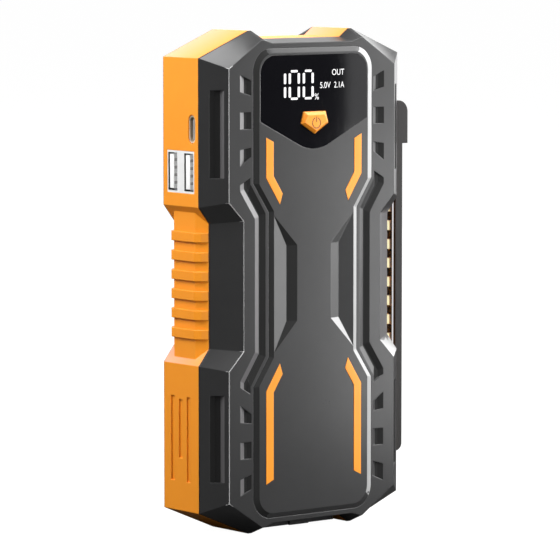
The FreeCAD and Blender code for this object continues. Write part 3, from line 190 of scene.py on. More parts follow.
class Finish:
    """One material and its nodes."""

    def __init__(self, name):
        self.material = bpy.data.materials.new(name)
        self.material.use_nodes = True
        self.nodes = self.material.node_tree.nodes
        self.links = self.material.node_tree.links
        self.nodes.clear()
        self.output = self.nodes.new("ShaderNodeOutputMaterial")
        self.point = self.add("TexCoord")["Object"]

    def add(self, kind, settings=None, values=None):
        """Any node: its type, its settings, then the values or links of its sockets."""
        node = self.nodes.new("ShaderNode" + kind)
        for key, value in (settings or {}).items():
            setattr(node, key, value)
        for key, value in (values or {}).items():
            self.feed(node.inputs[key], value)
        return Outputs(self, node)

    def feed(self, socket, value):
        """Link a socket to another node, or give it a plain value."""
        if isinstance(value, Shade):
            self.links.new(value.socket, socket)
        else:
            socket.default_value = value

    def math(self, operation, *numbers):
        """One sum of numbers or of what other nodes give."""
        return self.add("Math", {"operation": operation}, dict(enumerate(numbers)))["Value"]

    def mix(self, factor, first, second):
        """One colour turned into another."""
        return self.add("Mix", {"data_type": "RGBA"}, {0: factor, 6: first, 7: second})[2]

    def noise(self, size, detail=2, roughness=0.5, point=None):
        """Soft noise whose patches are about this size in metres."""
        values = {"Scale": 1 / size, "Detail": detail, "Roughness": roughness}
        values["Vector"] = point or self.point
        return self.add("TexNoise", None, values)["Fac"]

    def stretched(self, scale):
        """The surface point, scaled along each axis."""
        return self.add("Mapping", None, {"Vector": self.point, "Scale": scale})["Vector"]

    def bump(self, height, depth, normal=None):
        """A bump whose full height is a depth in metres."""
        values = {"Height": height, "Distance": depth, "Strength": 1.0}
        if normal:
            values["Normal"] = normal
        return self.add("Bump", None, values)["Normal"]

    def across(self):
        """The housing's own X, Y and Z in millimetres."""
        parts = self.add("SeparateXYZ", None, {"Vector": self.point})
        return [parts[axis] * (1 / MM) - start for axis, start in zip("XYZ", HOUSING)]

    def rounded(self, radius):
        """The normal of the surface as if its edges were rounded, and how near an edge is."""
        soft = self.add("Bevel", {"samples": 6}, {"Radius": radius})["Normal"]
        true = self.add("NewGeometry")["Normal"]
        along = self.add("VectorMath", {"operation": "DOT_PRODUCT"}, {0: soft, 1: true})["Value"]
        return soft, (1 - along).spread(0.01, 0.16)

    def surface(self, values):
        """Finish with the standard surface shader."""
        shader = self.add("BsdfPrincipled", None, values)["BSDF"]
        self.links.new(shader.socket, self.output.inputs["Surface"])
        return self.material


def tint(colour, factor):
    """A colour made lighter or darker, with its alpha kept."""
    return tuple(min(1, part * factor) for part in colour[:3]) + (1,)


# Finishes

def moulded(name, colour, rough=0.42, grain=0.000006, wear_and_sheen_tint=1.35, sheen=0.5, edge=0, mark=None,
            pale=None):
    """Moulded plastic: a fine spark grain, slow changes of tone, and paler edges that are partly
    wear and partly a painted highlight.

    mark is a function that gives where the surface is darker and sunk, from 0 to 1. pale is a
    function that gives where a painted highlight or sheen makes it paler, with its colour.
    """
    finish = Finish(name)
    slow = finish.noise(0.035, 3)
    patch = finish.noise(0.006, 4, 0.6).spread(0.35, 0.75)
    spark = finish.noise(0.00032, 2, 0.7)
    tone = finish.mix(slow, tint(colour, 0.93), tint(colour, 1.07))
    soft, near_edge, wear_and_edge_sheen = None, None, patch * 0.16
    # Near an edge the colour turns paler: partly wear, partly a painted highlight
    if edge:
        soft, near_edge = finish.rounded(edge)
        wear_and_edge_sheen = wear_and_edge_sheen + near_edge * (patch * 0.6 + 0.2)
    base = finish.mix(wear_and_edge_sheen, tone, tint(colour, wear_and_sheen_tint))
    # A painted highlight or sheen, where pale gives one
    if pale:
        where, paler = pale
        base = finish.mix(where(finish, near_edge), base, paler)
    dull = slow * 0.06 + spark * 0.05 + (rough - 0.05) - wear_and_edge_sheen * 0.1
    relief = finish.bump(spark, grain, normal=soft)
    # A sunk, darker mark: a moulded sign, or painted shade along a seam
    if mark:
        sunk = mark(finish)
        base = finish.mix(sunk, base, tint(colour, 0.25))
        relief = finish.bump(sunk * -1, 0.0001, normal=relief)
    return finish.surface({
        "Base Color": base,
        "Roughness": dull,
        "Specular IOR Level": sheen,
        "Normal": relief,
    })


def seam_shade_line(finish):
    """The fine seams where the shells meet the frame: sunk a little, with painted shade along
    them.
    """
    y = finish.across()[1]
    beside = finish.math("ABSOLUTE", finish.math("ABSOLUTE", y) - BAND_HALF_DEPTH)
    return beside.spread(0.20, 0.10)


def front_arris_highlight(finish, near_edge):
    """A painted highlight along the edge where the front meets the left slant."""
    x, y, z = finish.across()
    beside_slots = x.spread(*EDGE_BESIDE_SLOTS)
    waist = x.spread(*EDGE_AT_WAIST) * finish.math("ABSOLUTE", z).spread(*EDGE_WAIST_HEIGHT)
    left = finish.math("MAXIMUM", beside_slots, waist)
    return near_edge * 5 * left * y.spread(*EDGE_DEPTH)


def upper_slopes_sheen(finish, near_edge):
    """Painted sheen on slopes that face up and to the left, paler toward the back."""
    normal = finish.add("SeparateXYZ", None, {"Vector": finish.add("NewGeometry")["Normal"]})
    y = finish.across()[1]
    upward = normal["Z"].spread(0.25, 0.4)
    leftward = (normal["X"] * -1).spread(0.25, 0.4)
    return upward * leftward * y.spread(-9, 9, 0.15, 0.6)


def power_icon(finish):
    """A ring, open at its top, with a short bar in the gap."""
    x, _, z = finish.across()
    rise = z - ICON_CENTRE
    beside = finish.math("ABSOLUTE", x)
    reach = finish.math("SQRT", x * x + rise * rise)
    ring = finish.math("ABSOLUTE", reach - ICON_RADIUS).spread(0.24, 0.16)
    gap = beside.spread(0.62, 0.52) * rise.spread(0, 0.1)
    above_bar = finish.math("ABSOLUTE", rise - ICON_BAR)
    bar = beside.spread(0.24, 0.16) * above_bar.spread(0.95, 0.85)
    return finish.math("MAXIMUM", ring * (1 - gap), bar)


def gloss_window():
    """Polished black window with a trace of fine wiping marks."""
    finish = Finish("window_gloss")
    wiped = finish.noise(0.0012, 3, 0.6, finish.stretched((1, 1, 0.25)))
    cloud = finish.noise(0.02, 3)
    base = finish.mix(cloud, (0.0035, 0.0035, 0.0045, 1), (0.006, 0.006, 0.0075, 1))
    return finish.surface({
        "Base Color": base,
        "Roughness": cloud * 0.05 + wiped.spread(0.55, 0.8) * 0.05 + 0.05,
        "Specular IOR Level": 0.36,
        "Normal": finish.bump(cloud, 0.000004),
    })


def metal(name, colour, rough=0.28, streak=(1, 1, 1)):
    """Plated or drawn metal, with faint streaks along one way."""
    finish = Finish(name)
    lines = finish.noise(0.0008, 3, 0.6, finish.stretched(streak))
    spots = finish.noise(0.004, 3)
    base = finish.mix(spots, tint(colour, 0.88), tint(colour, 1.08))
    return finish.surface({
        "Base Color": base,
        "Metallic": 1.0,
        "Roughness": lines * 0.14 + spots * 0.06 + (rough - 0.1),
        "Normal": finish.bump(lines, 0.000004),
    })


def circuit_board(name, colour, rough=0.27, coat=0.2, sheen=0.5):
    """Solder mask over copper: faint tracks, paler over the metal."""
    finish = Finish(name)
    tracks = finish.add("TexBrick", {"offset": 0.37}, {
        "Vector": finish.point, "Color1": (0, 0, 0, 1), "Color2": (1, 1, 1, 1),
        "Mortar": (0.5, 0.5, 0.5, 1), "Scale": 160.0, "Mortar Size": 0.03})["Fac"]
    cloud = finish.noise(0.008, 3)
    base = finish.mix(tracks * 0.5 + cloud * 0.3, tint(colour, 0.85), tint(colour, 1.4))
    return finish.surface({
        "Base Color": base,
        "Roughness": cloud * 0.1 + rough,
        "Coat Weight": cloud * coat * 1.5 + coat,
        "Specular IOR Level": sheen,
        "Normal": finish.bump(tracks, 0.00002),
    })


def foil():
    """Pouch cell foil with shallow wrinkles."""
    finish = Finish("pouch_foil")
    wrinkle = finish.noise(0.006, 4, 0.65)
    base = finish.mix(wrinkle, (0.55, 0.56, 0.58, 1), (0.76, 0.77, 0.79, 1))
    return finish.surface({
        "Base Color": base,
        "Metallic": 0.9,
        "Roughness": wrinkle * 0.2 + 0.25,
        "Normal": finish.bump(wrinkle, 0.0002),
    })


def foam(name, colour):
    """Closed cell foam or soft rubber with open pores."""
    finish = Finish(name)
    pores = finish.add("TexVoronoi", None, {"Vector": finish.point, "Scale": 1500.0})["Distance"]
    cloud = finish.noise(0.01, 3)
    base = finish.mix(pores * 0.5 + cloud * 0.4, tint(colour, 0.75), tint(colour, 1.3))
    return finish.surface({
        "Base Color": base,
        "Roughness": cloud * 0.1 + 0.78,
        "Specular IOR Level": 0.25,
        "Normal": finish.bump(pores, 0.00006),
    })


def lens():
    """Clear acrylic strip over the lamp's lights, whose front edge is painted as a white glow."""
    finish = Finish("lamp_lens_clear")
    flow = finish.noise(0.0015, 2, 0.5, finish.stretched((1, 1, 0.05)))
    cloud = finish.noise(0.01, 2)
    # Painted glow: the lens's front edge is made white, opaque and emissive
    edge = finish.across()[1].spread(LENS_FRONT + 0.8, LENS_FRONT + 0.7)
    return finish.surface({
        "Base Color": finish.mix(edge, (0.35, 0.36, 0.38, 1), (0.12, 0.14, 0.17, 1)),
        "Roughness": cloud * 0.05 + 0.06,
        "Specular IOR Level": 0.12,
        "Alpha": edge + flow * 0.04 + 0.03,
        "Emission Color": finish.mix(edge, (0, 0, 0, 1), (0.92, 0.97, 1, 1)),
        "Emission Strength": 0.7,
        "Normal": finish.bump(flow, 0.00001),
    })


def lit(name, colour, strength, halo=0.9, pale=0.2):
    """A part that gives light, a little uneven over its face, and how pale it is unlit."""
    finish = Finish(name)
    cloud = finish.noise(0.0009, 2)
    shine = finish.mix(cloud, tint(colour, halo), colour)
    return finish.surface({
        "Base Color": finish.mix(cloud * 0.1, tint(colour, pale), tint(colour, pale * 0.8)),
        "Roughness": cloud * 0.1 + 0.4,
        "Emission Color": shine,
        "Emission Strength": strength,
    })


SHELL_GREY = (0.024, 0.024, 0.0245, 1)
PANEL_GREY = (0.028, 0.028, 0.0285, 1)
ARM_GREY = (0.018, 0.017, 0.017, 1)
ORANGE = (0.95, 0.315, 0.014, 1)
INLAY_ORANGE = (0.95, 0.305, 0.016, 1)
RUBBER_GREY = (0.022, 0.022, 0.023, 1)
WHITE = (0.80, 0.80, 0.795, 1)
# Colour of the painted sheen on the orange's upper slopes
SHEEN_CREAM = (0.90, 0.48, 0.42, 1)
# Colour of the painted highlight down the front edge
ARRIS_HIGHLIGHT_GREY = (0.85, 0.85, 0.85, 1)

EDGE_RADIUS = 0.0004

shell_plastic = moulded("shell_plastic", SHELL_GREY, rough=0.32, wear_and_sheen_tint=1.8, edge=EDGE_RADIUS,
                        mark=seam_shade_line, pale=(front_arris_highlight, ARRIS_HIGHLIGHT_GREY))
# Lighter copy of the shell grey: painted light on slot walls, vent walls and waist faces that
# face the light
painted_light_plastic = moulded("painted_light_plastic", (0.10, 0.097, 0.10, 1), rough=0.32, wear_and_sheen_tint=1.2)
# Much lighter copy of the grey: painted highlight on the lit ledge and the panel's right slopes
painted_highlight_plastic = moulded("painted_highlight_plastic", (0.34, 0.34, 0.34, 1), rough=0.3, wear_and_sheen_tint=1.1)
# Near black: painted shade on slot and vent floors and on vent walls turned from the light
recess_painted_shade = moulded("recess_painted_shade", (0.008, 0.008, 0.008, 1), rough=0.6, sheen=0.2)
panel_plastic = moulded("panel_plastic", PANEL_GREY, rough=0.30, grain=0.000004, wear_and_sheen_tint=1.8,
                        edge=EDGE_RADIUS)
# Painted shade on the panel's left-facing slopes
panel_painted_shade = moulded("panel_painted_shade", (0.012, 0.012, 0.012, 1), rough=0.5, sheen=0.15)
orange_plastic = moulded("orange_plastic", ORANGE, rough=0.45, wear_and_sheen_tint=1.2, sheen=0.45,
                         edge=EDGE_RADIUS, mark=seam_shade_line, pale=(upper_slopes_sheen, SHEEN_CREAM))
inlay_plastic = moulded("inlay_plastic", INLAY_ORANGE, rough=0.36, grain=0.000003, wear_and_sheen_tint=1.15,
                        edge=EDGE_RADIUS)
button_plastic = moulded("button_plastic", INLAY_ORANGE, rough=0.36, grain=0.000003, wear_and_sheen_tint=1.15,
                         edge=EDGE_RADIUS, mark=power_icon)
arm_plastic = moulded("arm_plastic", ARM_GREY, rough=0.5, wear_and_sheen_tint=1.7, sheen=0.2, edge=EDGE_RADIUS)
white_plastic = moulded("white_plastic", WHITE, rough=0.4, wear_and_sheen_tint=1.05)
black_plastic = moulded("black_plastic", (0.012, 0.012, 0.013, 1), rough=0.35)
nylon = moulded("natural_nylon", (0.62, 0.60, 0.53, 1), rough=0.45)
blue_plastic = moulded("blue_plastic", (0.02, 0.09, 0.33, 1), rough=0.4)
red_cover = moulded("red_insulation", (0.45, 0.02, 0.015, 1), rough=0.4)
black_cover = moulded("black_insulation", (0.012, 0.012, 0.013, 1), rough=0.4)
grey_cover = moulded("grey_insulation", (0.35, 0.35, 0.34, 1), rough=0.4)
soft_rubber = moulded("soft_rubber", RUBBER_GREY, rough=0.62, grain=0.00001, sheen=0.3)
port_steel = metal("port_steel", (0.62, 0.62, 0.63, 1), 0.3, (0.1, 1, 1))
# Painted shade on the walls inside the plate's openings
port_painted_shade = moulded("port_painted_shade", (0.02, 0.02, 0.02, 1), rough=0.5)
port_rim = moulded("port_rim", (0.80, 0.66, 0.50, 1), rough=0.35)
tongue_grey = moulded("tongue_grey", (0.34, 0.34, 0.34, 1), rough=0.4)
pin_steel = metal("pin_steel", (0.60, 0.60, 0.61, 1), 0.25, (1, 0.1, 1))
black_zinc = metal("black_zinc", (0.10, 0.10, 0.105, 1), 0.34)
bright_zinc = metal("bright_zinc", (0.60, 0.60, 0.62, 1), 0.3)
turned_brass = metal("turned_brass", (0.78, 0.57, 0.27, 1), 0.26, (1, 1, 0.1))
can_aluminium = metal("can_aluminium", (0.75, 0.75, 0.77, 1), 0.24)
ferrite = moulded("ferrite", (0.05, 0.05, 0.052, 1), rough=0.6, grain=0.00002)
board_green = circuit_board("board_green", (0.012, 0.10, 0.035, 1))
board_brown = circuit_board("lamp_board_brown", (0.018, 0.020, 0.030, 1), 0.6, 0, 0.1)
cell_foil = foil()
grey_foam = foam("grey_foam", (0.09, 0.09, 0.095, 1))
window_gloss = gloss_window()
lens_clear = lens()
lamp_yellow = lit("lamp_yellow", (1.0, 0.97, 0.62, 1), 1.05)
# Painted glow: the white tongues and the contacts give off a little light though they are no lamp
port_white_painted_glow = lit("port_white_painted_glow", (0.80, 0.80, 0.79, 1), 0.35, 0.97, 1.0)
port_contact = lit("port_contact", (0.42, 0.41, 0.40, 1), 0.35, 0.9, 0.8)
display_white = lit("display_white", (1.0, 1.0, 1.0, 1), 1.0, 0.97)

NODE_FINISHES = {
    "display_module": black_plastic, "power_switch": black_plastic, "switch_stem": nylon,
    "main_board": board_green, "power_board": board_green, "link_board": board_green,
    "boost_coil": ferrite, "capacitors": can_aluminium, "mosfets": black_plastic,
    "board_header": nylon, "usb_a_shell": port_steel, "usb_a_tongues": white_plastic,
    "usb_a_contacts": port_contact, "usb_c_shell": port_rim, "usb_c_tongue": tongue_grey,
    "cell_1": cell_foil, "cell_2": cell_foil, "cell_3": cell_foil, "cell_4": cell_foil,
    "cell_spacers": grey_foam, "front_pad": grey_foam, "rear_pad": grey_foam,
    "negative_lead": black_cover, "positive_lead": red_cover, "board_lead": grey_cover,
    "output_socket": blue_plastic, "negative_contact": turned_brass,
    "positive_contact": turned_brass, "lamp_lens": lens_clear, "lamp_board": board_brown,
    "lamp_leds": lamp_yellow, "lamp_pin": pin_steel, "case_screws": black_zinc,
    "main_board_screws": bright_zinc, "power_board_screws": bright_zinc,
    "front_shell": shell_plastic, "rear_shell": shell_plastic, "mid_frame": orange_plastic,
    "front_panel": panel_plastic, "display_window": window_gloss,
    "inlay_upper_right": inlay_plastic, "inlay_upper_left": inlay_plastic,
    "inlay_lower_right": inlay_plastic, "inlay_lower_left": inlay_plastic,
    "power_button": button_plastic, "usb_port_plate": white_plastic,
    "output_cover": soft_rubber, "lamp_arm": arm_plastic,
}


def dress_nodes():
    """Give every solid its finish."""
    for name, finish in NODE_FINISHES.items():
        mesh = frame["nodes"][name].data
        mesh.materials.clear()
        mesh.materials.append(finish)


# Pieces

def deselect():
    """Leave nothing selected."""
    for item in bpy.context.selected_objects:
        item.select_set(False)


def work_on(piece):
    """Make a piece the only one selected, for the operators that follow."""
    deselect()
    piece.select_set(True)
    bpy.context.view_layer.objects.active = piece


def edit(piece):
    """Start shaping a piece, with all of it selected."""
    work_on(piece)
    bpy.ops.object.mode_set(mode="EDIT")
    bpy.ops.mesh.select_all(action="SELECT")


def done(piece):
    """Stop shaping a piece, with its faces turned outward."""
    bpy.ops.mesh.select_all(action="SELECT")
    bpy.ops.mesh.normals_make_consistent(inside=False)
    bpy.ops.object.mode_set(mode="OBJECT")
    return piece


def pick(piece, kind, wanted):
    """While shaping, select only the edges or faces that a test of their points accepts."""
    bpy.ops.mesh.select_all(action="DESELECT")
    bpy.ops.mesh.select_mode(type=kind)
    mesh = bmesh.from_edit_mesh(piece.data)
    for part in (mesh.edges if kind == "EDGE" else mesh.faces):
        part.select_set(wanted([vert.co / MM for vert in part.verts]))
    bmesh.update_edit_mesh(piece.data)


def block(name, low, high):
    """Start shaping a block between two corners, in millimetres from the world's origin."""
    deselect()
    bpy.ops.mesh.primitive_cube_add(size=1)
    piece = bpy.context.active_object
    piece.name = piece.data.name = name
    low, high = Vector(low) * MM, Vector(high) * MM
    edit(piece)
    bpy.ops.transform.resize(value=high - low, center_override=(0, 0, 0))
    bpy.ops.transform.translate(value=(high + low) / 2)
    return piece


def copies(piece, places, turn=None):
    """A piece copied to each place about the housing's centre, then joined into one."""
    turn = turn or Matrix()
    made = []
    for spot in places:
        again = bpy.data.objects.new(piece.name, piece.data.copy())
        bpy.context.scene.collection.objects.link(again)
        again.data.transform(Matrix.Translation(place(*spot)) @ turn)
        made.append(again)
    bpy.data.objects.remove(piece)
    return join(made)


def join(pieces):
    """Several pieces made one."""
    deselect()
    for piece in pieces:
        piece.select_set(True)
    bpy.context.view_layer.objects.active = pieces[0]
    if len(pieces) > 1:
        bpy.ops.object.join()
    return pieces[0]


def settle(piece, name, finish, body="pack", angle=30):
    """Name a finished piece, give it its material and let it ride on a body."""
    piece.name = piece.data.name = name
    if not piece.data.materials:
        piece.data.materials.append(finish)
    work_on(piece)
    bpy.ops.object.shade_smooth_by_angle(angle=math.radians(angle))
    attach(piece, body)
    return piece


def stand_for(piece, node):
    """Let a finished piece take a CAD node's place."""
    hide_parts(node)


def smooth_copy(node, angle):
    """A copy of a CAD node, merged, and shaded smooth over its gentle edges only."""
    source = frame["nodes"][node]
    piece = bpy.data.objects.new(node + "_moulding", source.data.copy())
    bpy.context.scene.collection.objects.link(piece)
    work_on(piece)
    if piece.data.has_custom_normals:
        bpy.ops.mesh.customdata_custom_splitnormals_clear()
    edit(piece)
    bpy.ops.mesh.remove_doubles(threshold=2e-6)
    bpy.ops.object.mode_set(mode="OBJECT")
    bpy.ops.object.shade_smooth_by_angle(angle=math.radians(angle))
    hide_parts(node)
    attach(piece, source["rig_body"])
    return piece


def in_slot(point):
    """Whether a point of a shell lies inside one of the slots in its slants."""
    x, y, z = point / MM - HOUSING
    across, deep = abs(x), abs(y)
    sunk = SLANT_SUM - (across + deep * SLANT_RATIO)
    level = abs(abs(z) - SLOT_CENTRE) < SLOT_HALF_HEIGHT
    return level and SLOT_DEPTHS[0] < sunk < SLOT_DEPTHS[1] and across > SLOT_NEAR


def in_vent(middle, normal):
    """Whether a face, by its middle about the housing's centre, belongs to a front vent."""
    sunk = VENT_FRONT < middle.y < VENT_BACK
    return sunk and VENT_NEAR < abs(middle.x) < VENT_FAR and normal.y < -0.8


def shell_face_finish(face):
    """Which finish a shell's face has, or none where it keeps the shell's own: painted shade in
    the slots and vents, painted light on walls, the waist and the ledge that face the light.
    """
    middle = face.center / MM - HOUSING
    normal = face.normal
    if in_slot(face.center) and abs(middle.y) < FRONT_FLAT:
        return recess_painted_shade if abs(normal.x) < 0.9 else painted_light_plastic
    if in_vent(middle, normal):
        if normal.x < -0.2 or middle.y > VENT_FLOOR and normal.y < -0.97:
            return recess_painted_shade
        if middle.x < 0 and normal.x > 0.2:
            return painted_light_plastic
    at_waist = middle.x > WAIST_SIDE and abs(middle.z) < WAIST_HALF_HEIGHT
    if at_waist and 0.5 < normal.x < 0.68:
        return painted_light_plastic
    faces_light = normal.x > 0.4 and normal.y < -0.5 and normal.z > 0.4
    return painted_highlight_plastic if LEDGE_LOW < middle.z < LEDGE_HIGH and faces_light else None


def panel_face_finish(face):
    """The raised panel's slopes: painted shade where they face left, painted highlight where they
    face right.
    """
    left = face.center.x / MM < HOUSING.x
    normal = face.normal
    if normal.x < -0.9 or left and normal.x < -0.1:
        return panel_painted_shade
    bright = 0.25 < normal.x < 0.9 or normal.x > 0.1 and normal.z > 0.05
    return painted_highlight_plastic if bright and not left else None


def plate_face_finish(face):
    """The white plate's faces: painted shade on the walls inside its two openings."""
    middle = face.center / MM - HOUSING
    level = abs(middle.z - PORT_HEIGHT) < OPENING_HALF_HEIGHT
    beside = level and abs(middle.y) < OPENING_HALF_DEPTH
    inside = middle.x > PLATE_FACE + 0.2 and abs(face.normal.x) < 0.5
    return port_painted_shade if beside and inside else None


def finish_faces(piece, finishes, choose):
    """Give each face of a piece the one of these finishes that a function chooses, if any."""
    for finish in finishes:
        piece.data.materials.append(finish)
    for face in piece.data.polygons:
        chosen = choose(face)
        face.material_index = finishes.index(chosen) + 1 if chosen else 0


def smooth_all():
    """The large moulded parts, with the finishes of their faces."""
    shell_finishes = (recess_painted_shade, painted_light_plastic, painted_highlight_plastic)
    for node in ("front_shell", "rear_shell"):
        finish_faces(smooth_copy(node, 6), shell_finishes, shell_face_finish)
    finish_faces(smooth_copy("front_panel", 6), (panel_painted_shade, painted_highlight_plastic), panel_face_finish)
    for node in ("mid_frame", "lamp_arm", "output_cover"):
        smooth_copy(node, 12)


def usb_plate():
    """The white plate round the two ports."""
    finish_faces(smooth_copy("usb_port_plate", 12), (port_painted_shade,), plate_face_finish)


def digit_bar(name, width, height):
    """One bar of a digit, with its corners rounded off."""
    piece = block(name, (-width / 2, -0.02, -height / 2), (width / 2, 0.01, height / 2))
    pick(piece, "EDGE", lambda ends: abs(ends[0].y - ends[1].y) > 0.02)
    bpy.ops.mesh.bevel(offset=min(width, height) * 0.36 * MM, segments=3)
    return done(piece)


def display_digits():
    """A full charge in seven bar digits: uprights and level bars on the window."""
    uprights = [(ONE_AT, PANEL_FACE, z) for z in UPRIGHT_HEIGHTS]
    levels = []
    for left, right in ZERO_SIDES:
        for z in UPRIGHT_HEIGHTS:
            uprights += [(left + UPRIGHT_INSET, PANEL_FACE, z),
                         (right - UPRIGHT_INSET, PANEL_FACE, z)]
        levels += [((left + right) / 2, PANEL_FACE, z) for z in LEVEL_HEIGHTS]
    upright = copies(digit_bar("upright_bar", *UPRIGHT_BAR), uprights)
    level = copies(digit_bar("level_bar", *LEVEL_BAR), levels)
    settle(join([upright, level]), "display_digits", display_white)


def caption(name, words, left, low, width):
    """Plain lettering on the window, from its lower left corner in the housing."""
    deselect()
    bpy.ops.object.text_add()
    piece = bpy.context.active_object
    piece.data.body = words
    piece.data.extrude = 0.01
    bpy.ops.object.convert(target="MESH")
    piece = bpy.context.active_object
    xs = [vert.co.x for vert in piece.data.vertices]
    ys = [vert.co.y for vert in piece.data.vertices]
    across = width * MM / (max(xs) - min(xs))
    up = CAPTION_HEIGHT * MM / (max(ys) - min(ys))
    upright = Matrix(((across, 0, 0, 0), (0, 0, -MM, 0), (0, up, 0, 0), (0, 0, 0, 1)))
    start = Matrix.Translation((-min(xs), -min(ys), 0))
    corner = Matrix.Translation(place(left, PANEL_FACE, low))
    piece.data.transform(corner @ upright @ start)
    settle(piece, name, display_white)


def captions():
    """The short readings beside the digits."""
    caption("caption_percent", "%", 0.1, 60.5, 1.9)
    caption("caption_out", "OUT", 7.6, 68.4, 5.2)
    caption("caption_volts", "5.0V", 2.5, 64.2, 4.5)
    caption("caption_amps", "2.1A", 8.5, 64.2, 4.3)


def usb_contacts():
    """Sprung contacts along the front face of each tongue, each with a raised outer end."""
    piece = block("contact", (TONGUE_END + 0.1, -0.06, -0.5), (-30, 0.1, 0.5))
    end = Vector((TONGUE_END + 1.5, 0, 0)) * MM
    bpy.ops.mesh.bisect(plane_co=end, plane_no=(1, 0, 0))
    pick(piece, "FACE", lambda ring: all(p.y < -0.05 and p.x < TONGUE_END + 1.6 for p in ring))
    bpy.ops.mesh.extrude_region_move(TRANSFORM_OT_translate={"value": (0, -0.12 * MM, 0)})
    bpy.ops.transform.resize(value=(0.8, 1, 0.8))
    done(piece)
    spots = []
    for port in PORTS:
        spots += [(0, port + TONGUE_FRONT, PORT_HEIGHT + step) for step in CONTACT_STEPS]
    piece = copies(piece, spots)
    settle(piece, "usb_sprung_contacts", port_contact)
    stand_for(piece, "usb_a_contacts")


def usb_tongues():
    """The white tongue of each port, with its outer end bevelled."""
    half = TONGUE_LENGTH / 2
    piece = block("tongue", (TONGUE_END, 0, -half), (-27, TONGUE_THICK, half))
    pick(piece, "EDGE", lambda ends: all(p.x < TONGUE_END + 0.01 for p in ends))
    bpy.ops.mesh.bevel(offset=0.12 * MM, segments=2)
    done(piece)
    piece = copies(piece, [(0, port + TONGUE_FRONT, PORT_HEIGHT) for port in PORTS])
    settle(piece, "usb_white_tongues", port_white_painted_glow)
    stand_for(piece, "usb_a_tongues")


def led_lights():
    """Two columns of lamp lights: a white frame round a sunk yellow face."""
    piece = block("led", (-0.65, -1.4, -1.75), (0, 1.4, 1.75))
    pick(piece, "FACE", lambda ring: all(p.x < -0.6 for p in ring))
    bpy.ops.mesh.inset(thickness=0.15 * MM)
    bpy.ops.mesh.extrude_region_move(TRANSFORM_OT_translate={"value": (0.12 * MM, 0, 0)})
    bpy.ops.mesh.inset(thickness=0.12 * MM)
    done(piece)
    piece.data.materials.append(white_plastic)
    piece.data.materials.append(lamp_yellow)
    for face in piece.data.polygons:
        inside = abs(face.center.y) < 1.2 * MM and abs(face.center.z) < 1.55 * MM
        face.material_index = 1 if inside and face.normal.x < -0.5 else 0
    heights = [LOWEST_LIGHT + LIGHT_PITCH * row for row in range(LIGHT_ROWS)]
    piece = copies(piece, [(LIGHT_FACE, y, z) for y in LIGHT_COLUMNS for z in heights])
    settle(piece, "led_packages", lamp_yellow, "lamp")
    stand_for(piece, "lamp_leds")


def screw_head(name, radius, height):
    """A pan head with a rounded rim and a cross recess in its top, pointing up."""
    deselect()
    bpy.ops.mesh.primitive_cylinder_add(vertices=40, radius=radius * MM, depth=height * MM)
    head = bpy.context.active_object
    head.name = head.data.name = name
    edit(head)
    bpy.ops.transform.translate(value=(0, 0, height / 2 * MM))
    pick(head, "EDGE", lambda ends: all(p.z > height - 0.01 for p in ends))
    bpy.ops.mesh.bevel(offset=height * 0.35 * MM, segments=4)
    done(head)
    for long, wide in ((radius * 0.52, radius * 0.12), (radius * 0.12, radius * 0.52)):
        low, high = (-long, -wide, height * 0.35), (long, wide, height + 0.5)
        cutter = done(block("recess", low, high))
        trim = head.modifiers.new("recess", "BOOLEAN")
        trim.operation = "DIFFERENCE"
        trim.object = cutter
        work_on(head)
        bpy.ops.object.modifier_apply(modifier=trim.name)
        bpy.data.objects.remove(cutter)
    return head


def threaded_shank(radius, length, pitch):
    """A shank with a ridge at each turn, pointing down."""
    root = 0.82
    deselect()
    bpy.ops.mesh.primitive_circle_add(vertices=24, radius=radius * root * MM, fill_type="NGON")
    shank = bpy.context.active_object
    edit(shank)
    steps = int(length / pitch * 2)
    for step in range(steps):
        down = (0, 0, -length / steps * MM)
        bpy.ops.mesh.extrude_region_move(TRANSFORM_OT_translate={"value": down})
        grow = 1 / root if step % 2 == 0 else root
        low = (0, 0, -length * (step + 1) / steps * MM)
        bpy.ops.transform.resize(value=(grow, grow, 1), center_override=low)
    return done(shank)


def board_screws(name, node, spots, turn):
    """The two screws of one board."""
    piece = copies(screw_head("board_screw", 1.6, 1.4), spots, turn)
    stand_for(settle(piece, name, bright_zinc), node)


def screws():
    """The case screws, driven from the back, and the boards' screws, whose heads face inward."""
    back = Matrix.Rotation(math.radians(-90), 4, "X")
    front = Matrix.Rotation(math.radians(90), 4, "X")
    piece = join([screw_head("case_screw", 2.3, 1.7), threaded_shank(1.25, 13.0, 0.9)])
    piece = copies(piece, [(x, 9.0, z) for x in (-30, 30) for z in (-66, 66)], back)
    stand_for(settle(piece, "cross_head_case_screws", black_zinc), "case_screws")
    spots = ((-21, -7.6, 73.2), (21, -7.6, 32.5))
    board_screws("cross_head_main_screws", "main_board_screws", spots, back)
    spots = ((-18, 4.0, 71.5), (21, 4.0, 32.5))
    board_screws("cross_head_power_screws", "power_board_screws", spots, front)


def make_pieces():
    """Everything that stands in for a solid or is added to the frame."""
    smooth_all()
    display_digits()
    captions()
    usb_plate()
    usb_tongues()
    usb_contacts()
    led_lights()
    screws()


# Light, floor and camera

